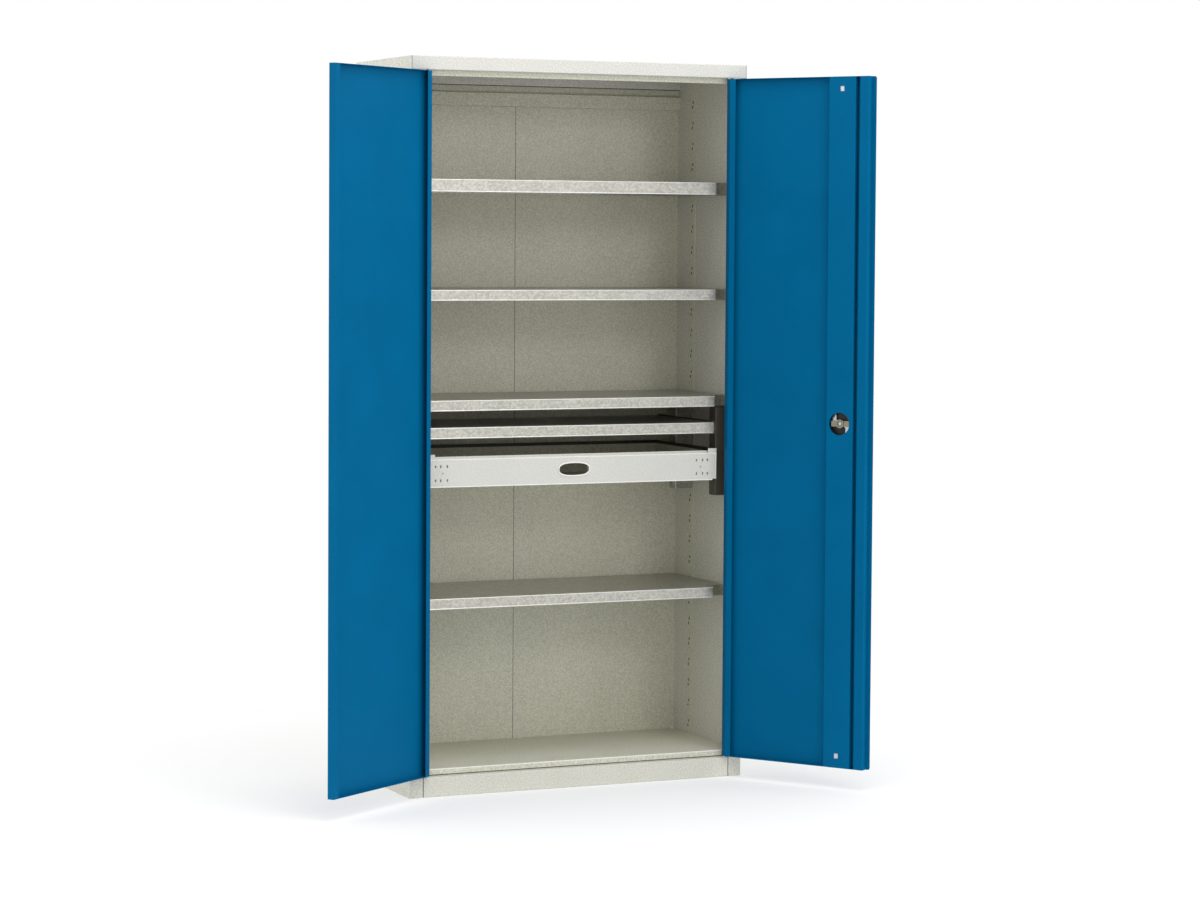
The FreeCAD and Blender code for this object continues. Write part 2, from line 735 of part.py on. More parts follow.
def finger_hole(margin):
    """Barrel-shaped hole tool: bowed top and bottom, rounded ends, grown by a margin."""
    half_width = FINGER_HOLE_WIDTH / 2 + margin
    half_end = FINGER_HOLE_END_HEIGHT / 2 + margin
    half_height = FINGER_HOLE_HEIGHT / 2 + margin
    middle = FRONT_MIDDLE + FINGER_HOLE_RISE
    y = SHELF_FRONT - OVERRUN
    depth = DRAWER_START + OVERRUN - y

    def at(x, z):
        return vec(x, y, middle + z)

    top = Part.Arc(at(-half_width, half_end), at(0, half_height), at(half_width, half_end))
    bottom = Part.Arc(at(half_width, -half_end), at(0, -half_height), at(-half_width, -half_end))
    right = Part.LineSegment(at(half_width, half_end), at(half_width, -half_end))
    left = Part.LineSegment(at(-half_width, -half_end), at(-half_width, half_end))
    wire = Part.Wire([curve.toShape() for curve in (top, right, bottom, left)])
    barrel = Part.Face(wire).extrude(Y_AXIS * depth)
    ends = [e for e in barrel.Edges if e.BoundBox.YLength > OVERRUN]
    return barrel.makeFillet(FINGER_HOLE_CORNER + margin, ends)


def front_punches(side):
    """Tools for the punched slots and the round hole at one end of the drawer front."""
    y = (SHELF_FRONT - OVERRUN, DRAWER_FACE + SEAM)
    tools = []
    for inset in PUNCH_COLUMN_INSETS:
        x = side * (DRAWER_FRONT_SIDE - inset)
        for rise in (-PUNCH_ROW_RISE, PUNCH_ROW_RISE):
            z = FRONT_MIDDLE + rise
            slot_x = (x - PUNCH_WIDTH / 2, x + PUNCH_WIDTH / 2)
            tools.append(block(slot_x, y, (z - PUNCH_HEIGHT / 2, z + PUNCH_HEIGHT / 2)))
    dot = side * (DRAWER_FRONT_SIDE - PUNCH_DOT_INSET)
    tools.append(rod_along_y(PUNCH_DOT_RADIUS, dot, FRONT_MIDDLE, y))
    return tools


def drawer_front():
    """Folded plate with a set-back rim along its top, a tab at each end and a grip hole."""
    half = DRAWER_FRONT_SHEET / 2
    rim_y = DRAWER_START - half
    line = [
        (SHELF_FRONT + half, FRONT_LOW),
        (SHELF_FRONT + half, FRONT_HIGH - half),
        (rim_y, FRONT_HIGH - half),
        (rim_y, FRONT_HIGH + DRAWER_FRONT_RIM),
    ]
    tab_start = DRAWER_FRONT_SIDE - TAB_WIDTH
    ledge_end = tab_start - SEAM
    folded = bent_sheet(line, "YZ", (-ledge_end, ledge_end), DRAWER_FRONT_SHEET)
    face_y = (SHELF_FRONT, DRAWER_FACE)
    shoulder = FRONT_HIGH - BEND - DRAWER_FRONT_SHEET
    right_end = block((ledge_end - SHEET, DRAWER_FRONT_SIDE), face_y, (FRONT_LOW, shoulder))
    right_tab = block((tab_start, DRAWER_FRONT_SIDE), face_y, (FRONT_LOW, FRONT_HIGH + TAB_HEIGHT))
    proud_y = (SHELF_FRONT - FINGER_RIM_PROUD, SHELF_FRONT + half)
    proud = block((-tab_start, tab_start), proud_y, (FRONT_LOW, FRONT_HIGH))
    bead = finger_hole(FINGER_RIM_WIDTH).common(proud)
    ends = [right_end, right_tab, mirrored(right_end), mirrored(right_tab)]
    tools = [finger_hole(0)] + front_punches(-1) + front_punches(1)
    step_x = (DRAWER_FRONT_SIDE - CORNER_STEP_WIDTH, DRAWER_FRONT_SIDE)
    step_z = (FRONT_LOW, FRONT_LOW + CORNER_STEP_HEIGHT)
    right_step = block(step_x, face_y, step_z)
    return less(joined(folded, *ends, bead), tools + [right_step, mirrored(right_step)])


def drawer_trim():
    """Black edging pressed over the rims of the two sides and the rear."""
    low = DRAWER_TOP - TRIM_GRIP
    high = low + TRIM_HEIGHT
    half = TRIM_WIDTH / 2
    middle = TRAY_SIDE - SHEET / 2
    rear = SHELF_BACK - SHEET / 2
    start = DRAWER_START + SHEET
    rails = [block((x - half, x + half), (start, rear + half), (low, high)) for x in (-middle, middle)]
    rails.append(block((-middle - half, middle + half), (rear - half, rear + half), (low, high)))
    edging = joined(*rails)
    slack = SHEET / 2 + TRIM_SLACK
    groove_y = (start, rear + slack)
    tools = [block((x - slack, x + slack), groove_y, (low, DRAWER_TOP)) for x in (-middle, middle)]
    tools.append(block((-middle - slack, middle + slack), (rear - slack, rear + slack), (low, DRAWER_TOP)))
    return less(edging, tools)


write("drawer_body", drawer_body())
write("drawer_front", drawer_front())
write("drawer_trim", drawer_trim())


# Doors are drawn shut, then swung open about their pivots
def swung(shape, side):
    angle = RIGHT_DOOR_ANGLE if side > 0 else -LEFT_DOOR_ANGLE
    return shape.rotated(vec(side * PIVOT_X, PIVOT_Y, 0), Z_AXIS, angle)


def door_shell(free_flange):
    """Door pan of the right hand: skin, bevelled hinge edge, free edge and inner flanges."""
    half = SHEET / 2
    skin = FRONT + half
    inner = DOOR_INNER_FACE - half
    free = DOOR_FREE_EDGE + half
    line = [
        (free + free_flange, inner),
        (free, inner),
        (free, skin),
        (DOOR_EDGE, skin),
        (HINGE_CORNER, inner),
        (HINGE_CORNER - HINGE_FLANGE, inner),
    ]
    pan = bent_sheet(line, "XY", (DOOR_BOTTOM, DOOR_TOP))
    outline = [
        (DOOR_FREE_EDGE + SHEET, FRONT + half),
        (DOOR_EDGE - BEND - 2 * SHEET, FRONT + half),
        (HINGE_CORNER - SHEET, DOOR_INNER_FACE - half),
        (DOOR_FREE_EDGE + SHEET, DOOR_INNER_FACE - half),
    ]
    pieces = [pan]
    for low in (DOOR_BOTTOM, DOOR_TOP - SHEET):
        pieces.append(plate(outline, "XY", (low, low + SHEET)))
    shell = joined(*pieces)
    clearance = PIVOT_RADIUS + PIVOT_HOLE_CLEARANCE
    ends = [(z - OVERRUN, z + OVERRUN) for z in (DOOR_BOTTOM, DOOR_TOP)]
    return shell, [rod_along_z(clearance, PIVOT_X, PIVOT_Y, z) for z in ends]


def right_pivot_blocks():
    """A wedge between skin and bevel at each end of the door, bored for the pivot pin."""
    skin = FRONT + SHEET
    far = PIVOT_X + PIVOT_BLOCK_EDGE
    near = far - PIVOT_BLOCK_WIDTH
    slope = (DOOR_THICKNESS - SHEET) / HINGE_BEVEL
    wall = SHEET / 2 * math.hypot(1, slope) + SEAM / 2

    def bevel(x):
        """Inner face of the bevelled edge at x."""
        return FRONT + SHEET / 2 + (DOOR_EDGE - x) * slope - wall

    top = min(bevel(near), DOOR_INNER_FACE - 2 * SHEET)
    points = [(far, skin), (far, bevel(far)), (near, top), (near, skin)]
    bore = PIVOT_RADIUS + PIVOT_RUNNING_FIT
    blocks = []
    for low in (DOOR_BOTTOM + SHEET, DOOR_TOP - SHEET - PIVOT_BLOCK_HEIGHT):
        span = (low, low + PIVOT_BLOCK_HEIGHT)
        hole = rod_along_z(bore, PIVOT_X, PIVOT_Y, (low - OVERRUN, low + PIVOT_BLOCK_HEIGHT + OVERRUN))
        blocks.append(less(plate(points, "XY", span), [hole]))
    return blocks


def right_pivot_pins():
    """Upper pin through the fascia return and lower pin through the ledge, each with a collar."""
    ledge = PLINTH_HEIGHT - SHEET - PIVOT_TAIL
    soffit = FASCIA_BOTTOM + SHEET + PIVOT_TAIL
    upper = rod_along_z(PIVOT_RADIUS, PIVOT_X, PIVOT_Y, (DOOR_TOP - PIVOT_ENTRY, soffit))
    lower = rod_along_z(PIVOT_RADIUS, PIVOT_X, PIVOT_Y, (ledge, DOOR_BOTTOM + PIVOT_ENTRY))
    washer_z = (DOOR_TOP + PIVOT_FLOAT, FASCIA_BOTTOM)
    washer = rod_along_z(PIVOT_COLLAR_RADIUS, PIVOT_X, PIVOT_Y, washer_z)
    collar_z = (PLINTH_HEIGHT, DOOR_BOTTOM - PIVOT_FLOAT)
    collar = rod_along_z(PIVOT_COLLAR_RADIUS, PIVOT_X, PIVOT_Y, collar_z)
    return joined(upper, washer), joined(lower, collar)


PINS = right_pivot_pins()
write("right_pivot_pins", *PINS)
write("left_pivot_pins", *[mirrored(pin) for pin in PINS])
BLOCKS = right_pivot_blocks()
write("right_pivot_blocks", *[swung(piece, 1) for piece in BLOCKS])
write("left_pivot_blocks", *[swung(mirrored(piece), -1) for piece in BLOCKS])

LEFT_SHELL, LEFT_TOOLS = door_shell(LEFT_FREE_FLANGE)
write("left_door_shell", swung(mirrored(less(LEFT_SHELL, LEFT_TOOLS)), -1))


def right_door_shell():
    """The right pan also lets the rods out at its ends and the lock spindle through its skin."""
    shell, tools = door_shell(RIGHT_FREE_FLANGE)
    spindle = rod_along_y(SPINDLE_RADIUS + SEAM, LOCK_X, LOCK_HEIGHT, (FRONT - OVERRUN, FRONT + OVERRUN))
    return less(shell, tools + [rod_hole(DOOR_BOTTOM), rod_hole(DOOR_TOP), spindle])


def cover_strip():
    """Flat strip on the right door's face that laps over the left door's edge."""
    face = FRONT - COVER_STRIP_SHEET
    high = DOOR_FREE_EDGE
    points = [
        (high + COVER_STRIP_SEAT, FRONT),
        (high, FRONT),
        (high - COVER_STRIP_LIFT, FRONT - COVER_STRIP_LIFT),
        (high - COVER_STRIP_OVERLAP, FRONT - COVER_STRIP_LIFT),
        (high - COVER_STRIP_OVERLAP, face - COVER_STRIP_LIFT),
        (high, face - COVER_STRIP_LIFT),
        (high + COVER_STRIP_LIFT, face),
        (high + COVER_STRIP_SEAT, face),
    ]
    strip = plate(points, "XY", (DOOR_BOTTOM, DOOR_TOP))
    tip = high - COVER_STRIP_OVERLAP
    ends = [e for e in strip.Edges if abs(e.BoundBox.XMax - tip) < SEAM and e.BoundBox.ZLength < SEAM]
    return strip.makeFillet(COVER_STRIP_CORNER, ends)


write("right_door_shell", swung(right_door_shell(), 1))
write("right_door_cover_strip", swung(cover_strip(), 1))


# Lock: a full-height cover band on the right door, hiding the cam and the two rods
def lock_band():
    half = SHEET / 2
    web = DOOR_INNER_FACE - half
    foot = FRONT + SHEET
    near = BAND_NEAR + half
    far = BAND_FAR - half
    line = [(near, foot), (near, web), (far, web), (far, foot)]
    low = DOOR_BOTTOM + SHEET + SEAM
    high = DOOR_TOP - SHEET - SEAM
    channel_cover = bent_sheet(line, "XY", (low, high))
    through = (DOOR_INNER_FACE - OVERRUN, DOOR_INNER_FACE + OVERRUN)
    tools = [rod_along_y(LOCK_HOLE_RADIUS, LOCK_X, LOCK_HEIGHT, through)]
    for z in (DOOR_BOTTOM + WINDOW_INSET, DOOR_TOP - WINDOW_INSET):
        window_x = (LOCK_X - WINDOW_WIDTH / 2, LOCK_X + WINDOW_WIDTH / 2)
        tools.append(block(window_x, through, (z - WINDOW_HEIGHT / 2, z + WINDOW_HEIGHT / 2)))
    return less(channel_cover, tools)


def lock_plate():
    x = (LOCK_X - LOCK_PLATE_WIDTH / 2, LOCK_X + LOCK_PLATE_WIDTH / 2)
    z = (LOCK_HEIGHT - LOCK_PLATE_HEIGHT / 2, LOCK_HEIGHT + LOCK_PLATE_HEIGHT / 2)
    y = (FRONT + SHEET, FRONT + SHEET + LOCK_PLATE_SHEET)
    hole = rod_along_y(SPINDLE_RADIUS + SEAM, LOCK_X, LOCK_HEIGHT, (FRONT, FRONT + OVERRUN))
    return less(block(x, y, z), [hole])


def spindle_bush():
    start = FRONT + SHEET + LOCK_PLATE_SHEET
    body = rod_along_y(BUSH_RADIUS, LOCK_X, LOCK_HEIGHT, (start, start + BUSH_LENGTH))
    bore = rod_along_y(SPINDLE_RADIUS + SPINDLE_FIT, LOCK_X, LOCK_HEIGHT, (FRONT, CAM_Y))
    return less(body, [bore])


HANDLE_BASE = FRONT - ESCUTCHEON_HEIGHT - HANDLE_GAP


def spindle():
    """A round bar from the handle to the cam, bored for the cam's screw."""
    face = CAM_Y + CAM_SHEET
    bar = rod_along_y(SPINDLE_RADIUS, LOCK_X, LOCK_HEIGHT, (HANDLE_BASE, face))
    bore = rod_along_y(CAM_SCREW_RADIUS, LOCK_X, LOCK_HEIGHT, (face - CAM_SCREW_DEPTH, face + OVERRUN))
    return less(bar, [bore])


def lock_cam():
    """A bar with a round boss, recessed for its screw; a pin near each end fills a rod's fork."""
    face = CAM_Y + CAM_SHEET
    bar_x = (LOCK_X - CAM_LENGTH / 2, LOCK_X + CAM_LENGTH / 2)
    bar_z = (LOCK_HEIGHT - CAM_WIDTH / 2, LOCK_HEIGHT + CAM_WIDTH / 2)
    bar = block(bar_x, (CAM_Y, face), bar_z)
    corners = [e for e in bar.Edges if e.BoundBox.YLength > CAM_SHEET / 2]
    bar = bar.makeFillet(CAM_CORNER, corners)
    boss = rod_along_y(CAM_BOSS_RADIUS, LOCK_X, LOCK_HEIGHT, (CAM_Y, face + CAM_BOSS_RISE))
    pin_y = (ROD_Y + SEAM, CAM_Y)
    pins = [rod_along_y(CAM_PIN_RADIUS, LOCK_X + way * CAM_RADIUS, LOCK_HEIGHT, pin_y) for way in (-1, 1)]
    hole = rod_along_y(SPINDLE_RADIUS, LOCK_X, LOCK_HEIGHT, (CAM_Y - OVERRUN, CAM_Y + OVERRUN))
    recess = rod_along_y(CAM_RECESS_RADIUS, LOCK_X, LOCK_HEIGHT, (face, face + OVERRUN))
    return less(joined(bar, boss, *pins), [hole, recess])


def cam_screw():
    face = CAM_Y + CAM_SHEET
    head = rod_along_y(CAM_SCREW_HEAD_RADIUS, LOCK_X, LOCK_HEIGHT, (face, face + CAM_SCREW_HEAD_HEIGHT))
    rim = [e for e in head.Edges if e.Closed and e.BoundBox.YMin > face + CAM_SCREW_HEAD_HEIGHT / 2]
    head = head.makeFillet(CAM_SCREW_HEAD_HEIGHT / 2, rim[:1])
    shank = rod_along_y(CAM_SCREW_RADIUS, LOCK_X, LOCK_HEIGHT, (face - CAM_SCREW_DEPTH + SEAM, face))
    return joined(head, shank)


def lock_rod(way):
    """A flat rod, drawn in: way 1 runs up from the cam's hinge end, way -1 down from the other.
    Its fork is open towards the spindle, where the pin leaves it. The rod moves evenly with the
    turn, so over a quarter turn the pin leads it by up to R (sin a - 2 a / pi), cos a = 2 / pi."""
    end = DOOR_TOP - ROD_END_GAP if way > 0 else DOOR_BOTTOM + ROD_END_GAP
    window = DOOR_TOP - WINDOW_INSET if way > 0 else DOOR_BOTTOM + WINDOW_INSET
    offset = way * CAM_RADIUS
    lead_angle = math.acos(2 / math.pi)
    lead = CAM_RADIUS * (math.sin(lead_angle) - lead_angle * 2 / math.pi)
    start = LOCK_HEIGHT + way * (CAM_PIN_RADIUS + FORK_SLACK + lead)
    line = [
        (LOCK_X + offset, start),
        (LOCK_X + offset, LOCK_HEIGHT + way * ROD_STRAIGHT),
        (LOCK_X, window - way * ROD_STRAIGHT),
        (LOCK_X, end),
    ]
    y = (ROD_Y, ROD_Y + ROD_SHEET)
    strip = bent_sheet(line, "XZ", y, ROD_WIDTH)
    outer = CAM_RADIUS + CAM_PIN_RADIUS + FORK_SLACK
    low = CAM_PIN_RADIUS + FORK_SLACK
    fork_x = sorted((LOCK_X + way * FORK_MOUTH, LOCK_X + way * (outer + FORK_ARM)))
    fork_z = sorted((LOCK_HEIGHT - way * (low + FORK_ARM), LOCK_HEIGHT + way * (low + lead + FORK_ARM)))
    slot_x = sorted((LOCK_X, LOCK_X + way * outer))
    slot_z = sorted((LOCK_HEIGHT - way * low, LOCK_HEIGHT + way * (low + lead)))
    slot = block(slot_x, (y[0] - OVERRUN, y[1] + OVERRUN), slot_z)
    return less(joined(strip, block(fork_x, y, fork_z)), [slot])


def rod_guides():
    """Plastic blocks behind the windows that keep the rod ends straight."""
    guides = []
    for z in (DOOR_BOTTOM + WINDOW_INSET, DOOR_TOP - WINDOW_INSET):
        x = (LOCK_X - GUIDE_WIDTH / 2, LOCK_X + GUIDE_WIDTH / 2)
        y = (FRONT + SHEET, DOOR_INNER_FACE - SHEET - SEAM)
        body = block(x, y, (z - GUIDE_HEIGHT / 2, z + GUIDE_HEIGHT / 2))
        slack = ROD_WIDTH / 2 + GUIDE_SLACK
        slot_y = (ROD_Y - GUIDE_SLACK, ROD_Y + ROD_SHEET + GUIDE_SLACK)
        slot = block((LOCK_X - slack, LOCK_X + slack), slot_y, (z - GUIDE_HEIGHT, z + GUIDE_HEIGHT))
        guides.append(less(body, [slot]))
    return guides


def escutcheon():
    disc = rod_along_y(ESCUTCHEON_RADIUS, LOCK_X, LOCK_HEIGHT, (FRONT - ESCUTCHEON_HEIGHT, FRONT))
    rim = [e for e in disc.Edges if e.Closed and e.BoundBox.YMax < FRONT - ESCUTCHEON_HEIGHT / 2]
    disc = disc.makeFillet(ESCUTCHEON_EDGE, rim[:1])
    hole_y = (FRONT - ESCUTCHEON_HEIGHT - OVERRUN, FRONT + OVERRUN)
    hole = rod_along_y(SPINDLE_RADIUS + SEAM, LOCK_X, LOCK_HEIGHT, hole_y)
    return less(disc, [hole])


def turn_handle():
    """A wing grip across a round hub, bored from the front for the key cylinder."""
    base = HANDLE_BASE
    hub = rod_along_y(HANDLE_HUB_RADIUS, LOCK_X, LOCK_HEIGHT, (base - HANDLE_HUB_HEIGHT, base))
    half_length = HANDLE_LENGTH / 2 - HANDLE_WIDTH / 2
    y = (base - HANDLE_HEIGHT, base - HANDLE_HUB_HEIGHT / 2)
    wing_z = (LOCK_HEIGHT - HANDLE_WIDTH / 2, LOCK_HEIGHT + HANDLE_WIDTH / 2)
    wing = block((LOCK_X - half_length, LOCK_X + half_length), y, wing_z)
    tips = [rod_along_y(HANDLE_WIDTH / 2, LOCK_X + way * half_length, LOCK_HEIGHT, y) for way in (-1, 1)]
    grip = joined(wing, *tips)
    top = [e for e in grip.Edges if e.BoundBox.YMax < y[0] + HANDLE_EDGE]
    grip = grip.makeFillet(HANDLE_EDGE, top)
    bore_y = (y[0] - OVERRUN, y[0] + CYLINDER_LENGTH)
    bore = rod_along_y(CYLINDER_RADIUS + CYLINDER_FIT, LOCK_X, LOCK_HEIGHT, bore_y)
    return less(joined(hub, grip), [bore])


def key_cylinder():
    face = HANDLE_BASE - HANDLE_HEIGHT - CYLINDER_PROUD
    y = (face, face + CYLINDER_PROUD + CYLINDER_LENGTH)
    barrel = rod_along_y(CYLINDER_RADIUS, LOCK_X, LOCK_HEIGHT, y)
    keyway_x = (LOCK_X - KEYWAY_LENGTH / 2, LOCK_X + KEYWAY_LENGTH / 2)
    keyway_z = (LOCK_HEIGHT - KEYWAY_WIDTH / 2, LOCK_HEIGHT + KEYWAY_WIDTH / 2)
    return less(barrel, [block(keyway_x, (face - OVERRUN, face + KEYWAY_DEPTH), keyway_z)])


for name, piece in (
    ("lock_band", lock_band()),
    ("lock_plate", lock_plate()),
    ("spindle_bush", spindle_bush()),
    ("lock_spindle", spindle()),
    ("lock_cam", lock_cam()),
    ("cam_screw", cam_screw()),
    ("upper_lock_rod", lock_rod(1)),
    ("lower_lock_rod", lock_rod(-1)),
    ("handle_escutcheon", escutcheon()),
    ("turn_handle", turn_handle()),
    ("key_cylinder", key_cylinder()),
):
    write(name, swung(piece, 1))
write("rod_guides", *[swung(guide, 1) for guide in rod_guides()])
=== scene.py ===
import math

import bmesh
import bpy
import numpy as np
from mathutils import Matrix, Vector


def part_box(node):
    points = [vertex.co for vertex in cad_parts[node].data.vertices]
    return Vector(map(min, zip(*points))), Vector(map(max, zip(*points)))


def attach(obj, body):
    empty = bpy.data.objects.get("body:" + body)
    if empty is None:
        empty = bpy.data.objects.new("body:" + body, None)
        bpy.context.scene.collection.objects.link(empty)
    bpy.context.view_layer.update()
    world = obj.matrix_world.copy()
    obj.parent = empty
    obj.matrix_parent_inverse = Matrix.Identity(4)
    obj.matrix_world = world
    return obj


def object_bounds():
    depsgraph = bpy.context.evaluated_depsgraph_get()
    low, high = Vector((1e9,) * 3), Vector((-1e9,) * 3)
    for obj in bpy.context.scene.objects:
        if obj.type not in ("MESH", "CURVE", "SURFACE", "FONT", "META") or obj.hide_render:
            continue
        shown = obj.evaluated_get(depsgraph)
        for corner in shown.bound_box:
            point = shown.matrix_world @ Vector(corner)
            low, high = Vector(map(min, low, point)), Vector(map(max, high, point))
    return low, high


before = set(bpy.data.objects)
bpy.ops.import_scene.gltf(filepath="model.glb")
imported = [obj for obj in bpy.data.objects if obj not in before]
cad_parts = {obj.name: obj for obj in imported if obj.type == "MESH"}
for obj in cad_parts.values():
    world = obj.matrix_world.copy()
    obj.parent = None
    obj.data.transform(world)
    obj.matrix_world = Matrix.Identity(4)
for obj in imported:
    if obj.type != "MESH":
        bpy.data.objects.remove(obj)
cad_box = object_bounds()


# Carcass: two side panels, a top with its fascia, a back in two sheets, a plinth and a floor.
# Folded from 1 mm steel, welded, and powder coated light grey with a fine texture that
# breaks up reflections. The joints between stiles, plinth and fascia stay open, drawn as thin lines of
# painted shade.
def linear(hex_colour):
    """An sRGB hex value as linear RGBA."""
    channels = [int(hex_colour[i:i + 2], 16) / 255 for i in (1, 3, 5)]
    return [c / 12.92 if c <= 0.04045 else ((c + 0.055) / 1.055) ** 2.4 for c in channels] + [1.0]


def add(tree, kind, sockets=None, **settings):
    """Adds a node, sets its settings, and feeds its sockets with values or other nodes' outputs."""
    node = tree.nodes.new(kind)
    for name, value in settings.items():
        setattr(node, name, value)
    for name, value in (sockets or {}).items():
        if isinstance(value, bpy.types.NodeSocket):
            tree.links.new(value, node.inputs[name])
        else:
            node.inputs[name].default_value = value
    return node


def new_finish(name):
    """An empty material, its node tree and its Object coordinates."""
    material = bpy.data.materials.new(name)
    material.use_nodes = True
    tree = material.node_tree
    tree.nodes.clear()
    place = add(tree, "ShaderNodeTexCoord").outputs["Object"]
    return material, tree, place


def close_finish(tree, sockets):
    """The surface shader of a finish, from its sockets."""
    shader = add(tree, "ShaderNodeBsdfPrincipled", sockets)
    add(tree, "ShaderNodeOutputMaterial", {"Surface": shader.outputs["BSDF"]})


def paint(material, *nodes):
    """Gives a finish to the carried-over pieces of those names."""
    for node in nodes:
        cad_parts[node].data.materials.clear()
        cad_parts[node].data.materials.append(material)


MM = 0.001


def per_metre(millimetres):
    """Texture scale whose features are about that size."""
    return 1 / (millimetres * MM)


def stretched(tree, place, scale):
    """Coordinates with a scale for each axis: a small one draws a pattern out along that axis."""
    return add(tree, "ShaderNodeMapping", {"Vector": place, "Scale": scale}).outputs["Vector"]


def noise(tree, place, size, detail):
    """Noise whose features are about that many millimetres across."""
    sockets = {"Vector": place, "Scale": per_metre(size), "Detail": detail}
    return add(tree, "ShaderNodeTexNoise", sockets).outputs["Fac"]


def blend(tree, first, second, share):
    """Two patterns in one: a share of the second, and the rest of the first."""
    return add(tree, "ShaderNodeMix", {0: share, 2: first, 3: second}).outputs[0]


def ramp(tree, value, start=(0.0, 1.0), end=(0.0, 1.0)):
    """A value that runs over one span, carried over to another span."""
    sockets = {
        "Value": value, "From Min": start[0], "From Max": start[1], "To Min": end[0], "To Max": end[1],
    }
    return add(tree, "ShaderNodeMapRange", sockets).outputs[0]


def two_tone(tree, value, light, dark):
    """A colour that runs from dark to light as a value runs from 0 to 1."""
    sockets = {0: value, 6: linear(dark), 7: linear(light)}
    return add(tree, "ShaderNodeMix", sockets, data_type="RGBA").outputs[2]


def relief(tree, height, strength, depth):
    """A surface normal that follows a pattern's height, over a depth in millimetres."""
    sockets = {"Height": height, "Strength": strength, "Distance": depth * MM}
    return add(tree, "ShaderNodeBump", sockets).outputs["Normal"]


def textured_grey_coat(name, light, dark, drawn_out=1.0):
    """Polyester powder coat with a sanded texture: matt, with a faint grain. The grain is about
    0.4 mm across; it is drawn at 3.2 mm with a 1.6 mm one inside it, so that it shows. On a wall
    that is seen at a flat angle it can be drawn out along Y."""
    material, tree, place = new_finish(name)
    grain = noise(tree, stretched(tree, place, (1.0, 1 / drawn_out, 1.0)), size=3.2, detail=3.0)
    fine = noise(tree, place, size=1.6, detail=2.0)
    cloud = noise(tree, place, size=180.0, detail=2.0)
    tone = ramp(tree, blend(tree, grain, cloud, share=0.1), start=(0.38, 0.62))
    close_finish(tree, {
        "Base Color": two_tone(tree, tone, light, dark),
        "Roughness": ramp(tree, grain, end=(0.46, 0.62)),
        "IOR": 1.5,
        "Normal": relief(tree, fine, strength=0.25, depth=0.3),
    })
    return material


grey_coat = textured_grey_coat("light_grey_textured_powder_coat", "#DDDCD1", "#BFBEB2")
paint(grey_coat, "front_plinth", "rear_plinth", "floor_support")
side_coat = textured_grey_coat("light_grey_side_powder_coat", "#DDDCD1", "#BFBEB2", drawn_out=2.5)
paint(side_coat, "left_side_panel", "right_side_panel")
# The top panel takes a slightly darker, cooler copy of the same coat: painted shade that tones down the
# stronger light from above on its fascia.
paint(textured_grey_coat("painted_shade_top_powder_coat", "#DAD9D3", "#C0BFB8"), "top_panel")
# The inside and the drawer take a warmer copy of the same coat: painted shade for the warmer tone of the
# deep shade inside, which also offsets the blue light bounced onto the drawer from the doors.
inner_shade_coat = textured_grey_coat("painted_shade_inner_powder_coat", "#DDDCCB", "#BEBDAB")
paint(
    inner_shade_coat, "top_stop_rail", "rear_top_rail", "back_panel_left", "back_panel_right", "floor_panel",
    "left_front_upright", "right_front_upright", "left_rear_upright", "right_rear_upright",
)


# Floor screws: three pan heads along the rear edge of the floor, lacquered white, driven down
# through the floor into the rear plinth.
paint(textured_grey_coat("white_screw_head_lacquer", "#FBFBF9", "#F4F4F1"), "floor_screws")


# Shelves: four galvanised steel pans with a deep folded front lip, hung on clips.
# Hot-dip zinc leaves a spangle of grey crystals, each with its own tilt and shine.
def galvanised_sheet(name, light, dark):
    """Galvanised sheet: spangle cells about 5 mm across, each with its own tone and gloss, over
    faint rolling lines along X."""
    material, tree, place = new_finish(name)
    sockets = {"Vector": place, "Scale": per_metre(5.0), "Randomness": 1.0}
    spangle = add(tree, "ShaderNodeTexVoronoi", sockets).outputs["Color"]
    cell = add(tree, "ShaderNodeSeparateColor", {"Color": spangle}).outputs
    rolled = noise(tree, stretched(tree, place, (0.05, 1.0, 1.0)), size=3.0, detail=3.0)
    tone = blend(tree, cell["Red"], rolled, share=0.45)
    close_finish(tree, {
        "Base Color": two_tone(tree, tone, light, dark),
        "Metallic": 1.0,
        "Roughness": ramp(tree, cell["Green"], end=(0.32, 0.52)),
        "Normal": relief(tree, cell["Blue"], strength=0.15, depth=0.1),
    })
    return material


galvanised = galvanised_sheet("galvanised_spangle_steel", "#D6D5CC", "#A2A097")
paint(galvanised, "shelf_1", "shelf_2", "shelf_3", "shelf_4")
paint(galvanised, "shelf_1_clips", "shelf_2_clips", "shelf_3_clips", "shelf_4_clips")


# Slide brackets: four pressed channels on the side walls. The front pair is drawn in dark grey,
# the rear pair is plain galvanised sheet.
def dark_finish_and_painted_shade(name, light, dark):
    """A dark, thin, half matt finish with faint runs drawn 12 mm wide, for the dark brackets and for
    painted shade in slots and joints.
    """
    material, tree, place = new_finish(name)
    run = noise(tree, place, size=12.0, detail=3.0)
    close_finish(tree, {
        "Base Color": two_tone(tree, run, light, dark),
        "Roughness": ramp(tree, run, end=(0.38, 0.55)),
        "IOR": 1.5,
    })
    return material


dark_bracket_grey = dark_finish_and_painted_shade("dark_grey_bracket_finish", "#4A463D", "#37342D")
paint(dark_bracket_grey, "left_front_slide_bracket", "right_front_slide_bracket")
paint(galvanised, "left_rear_slide_bracket", "right_rear_slide_bracket")
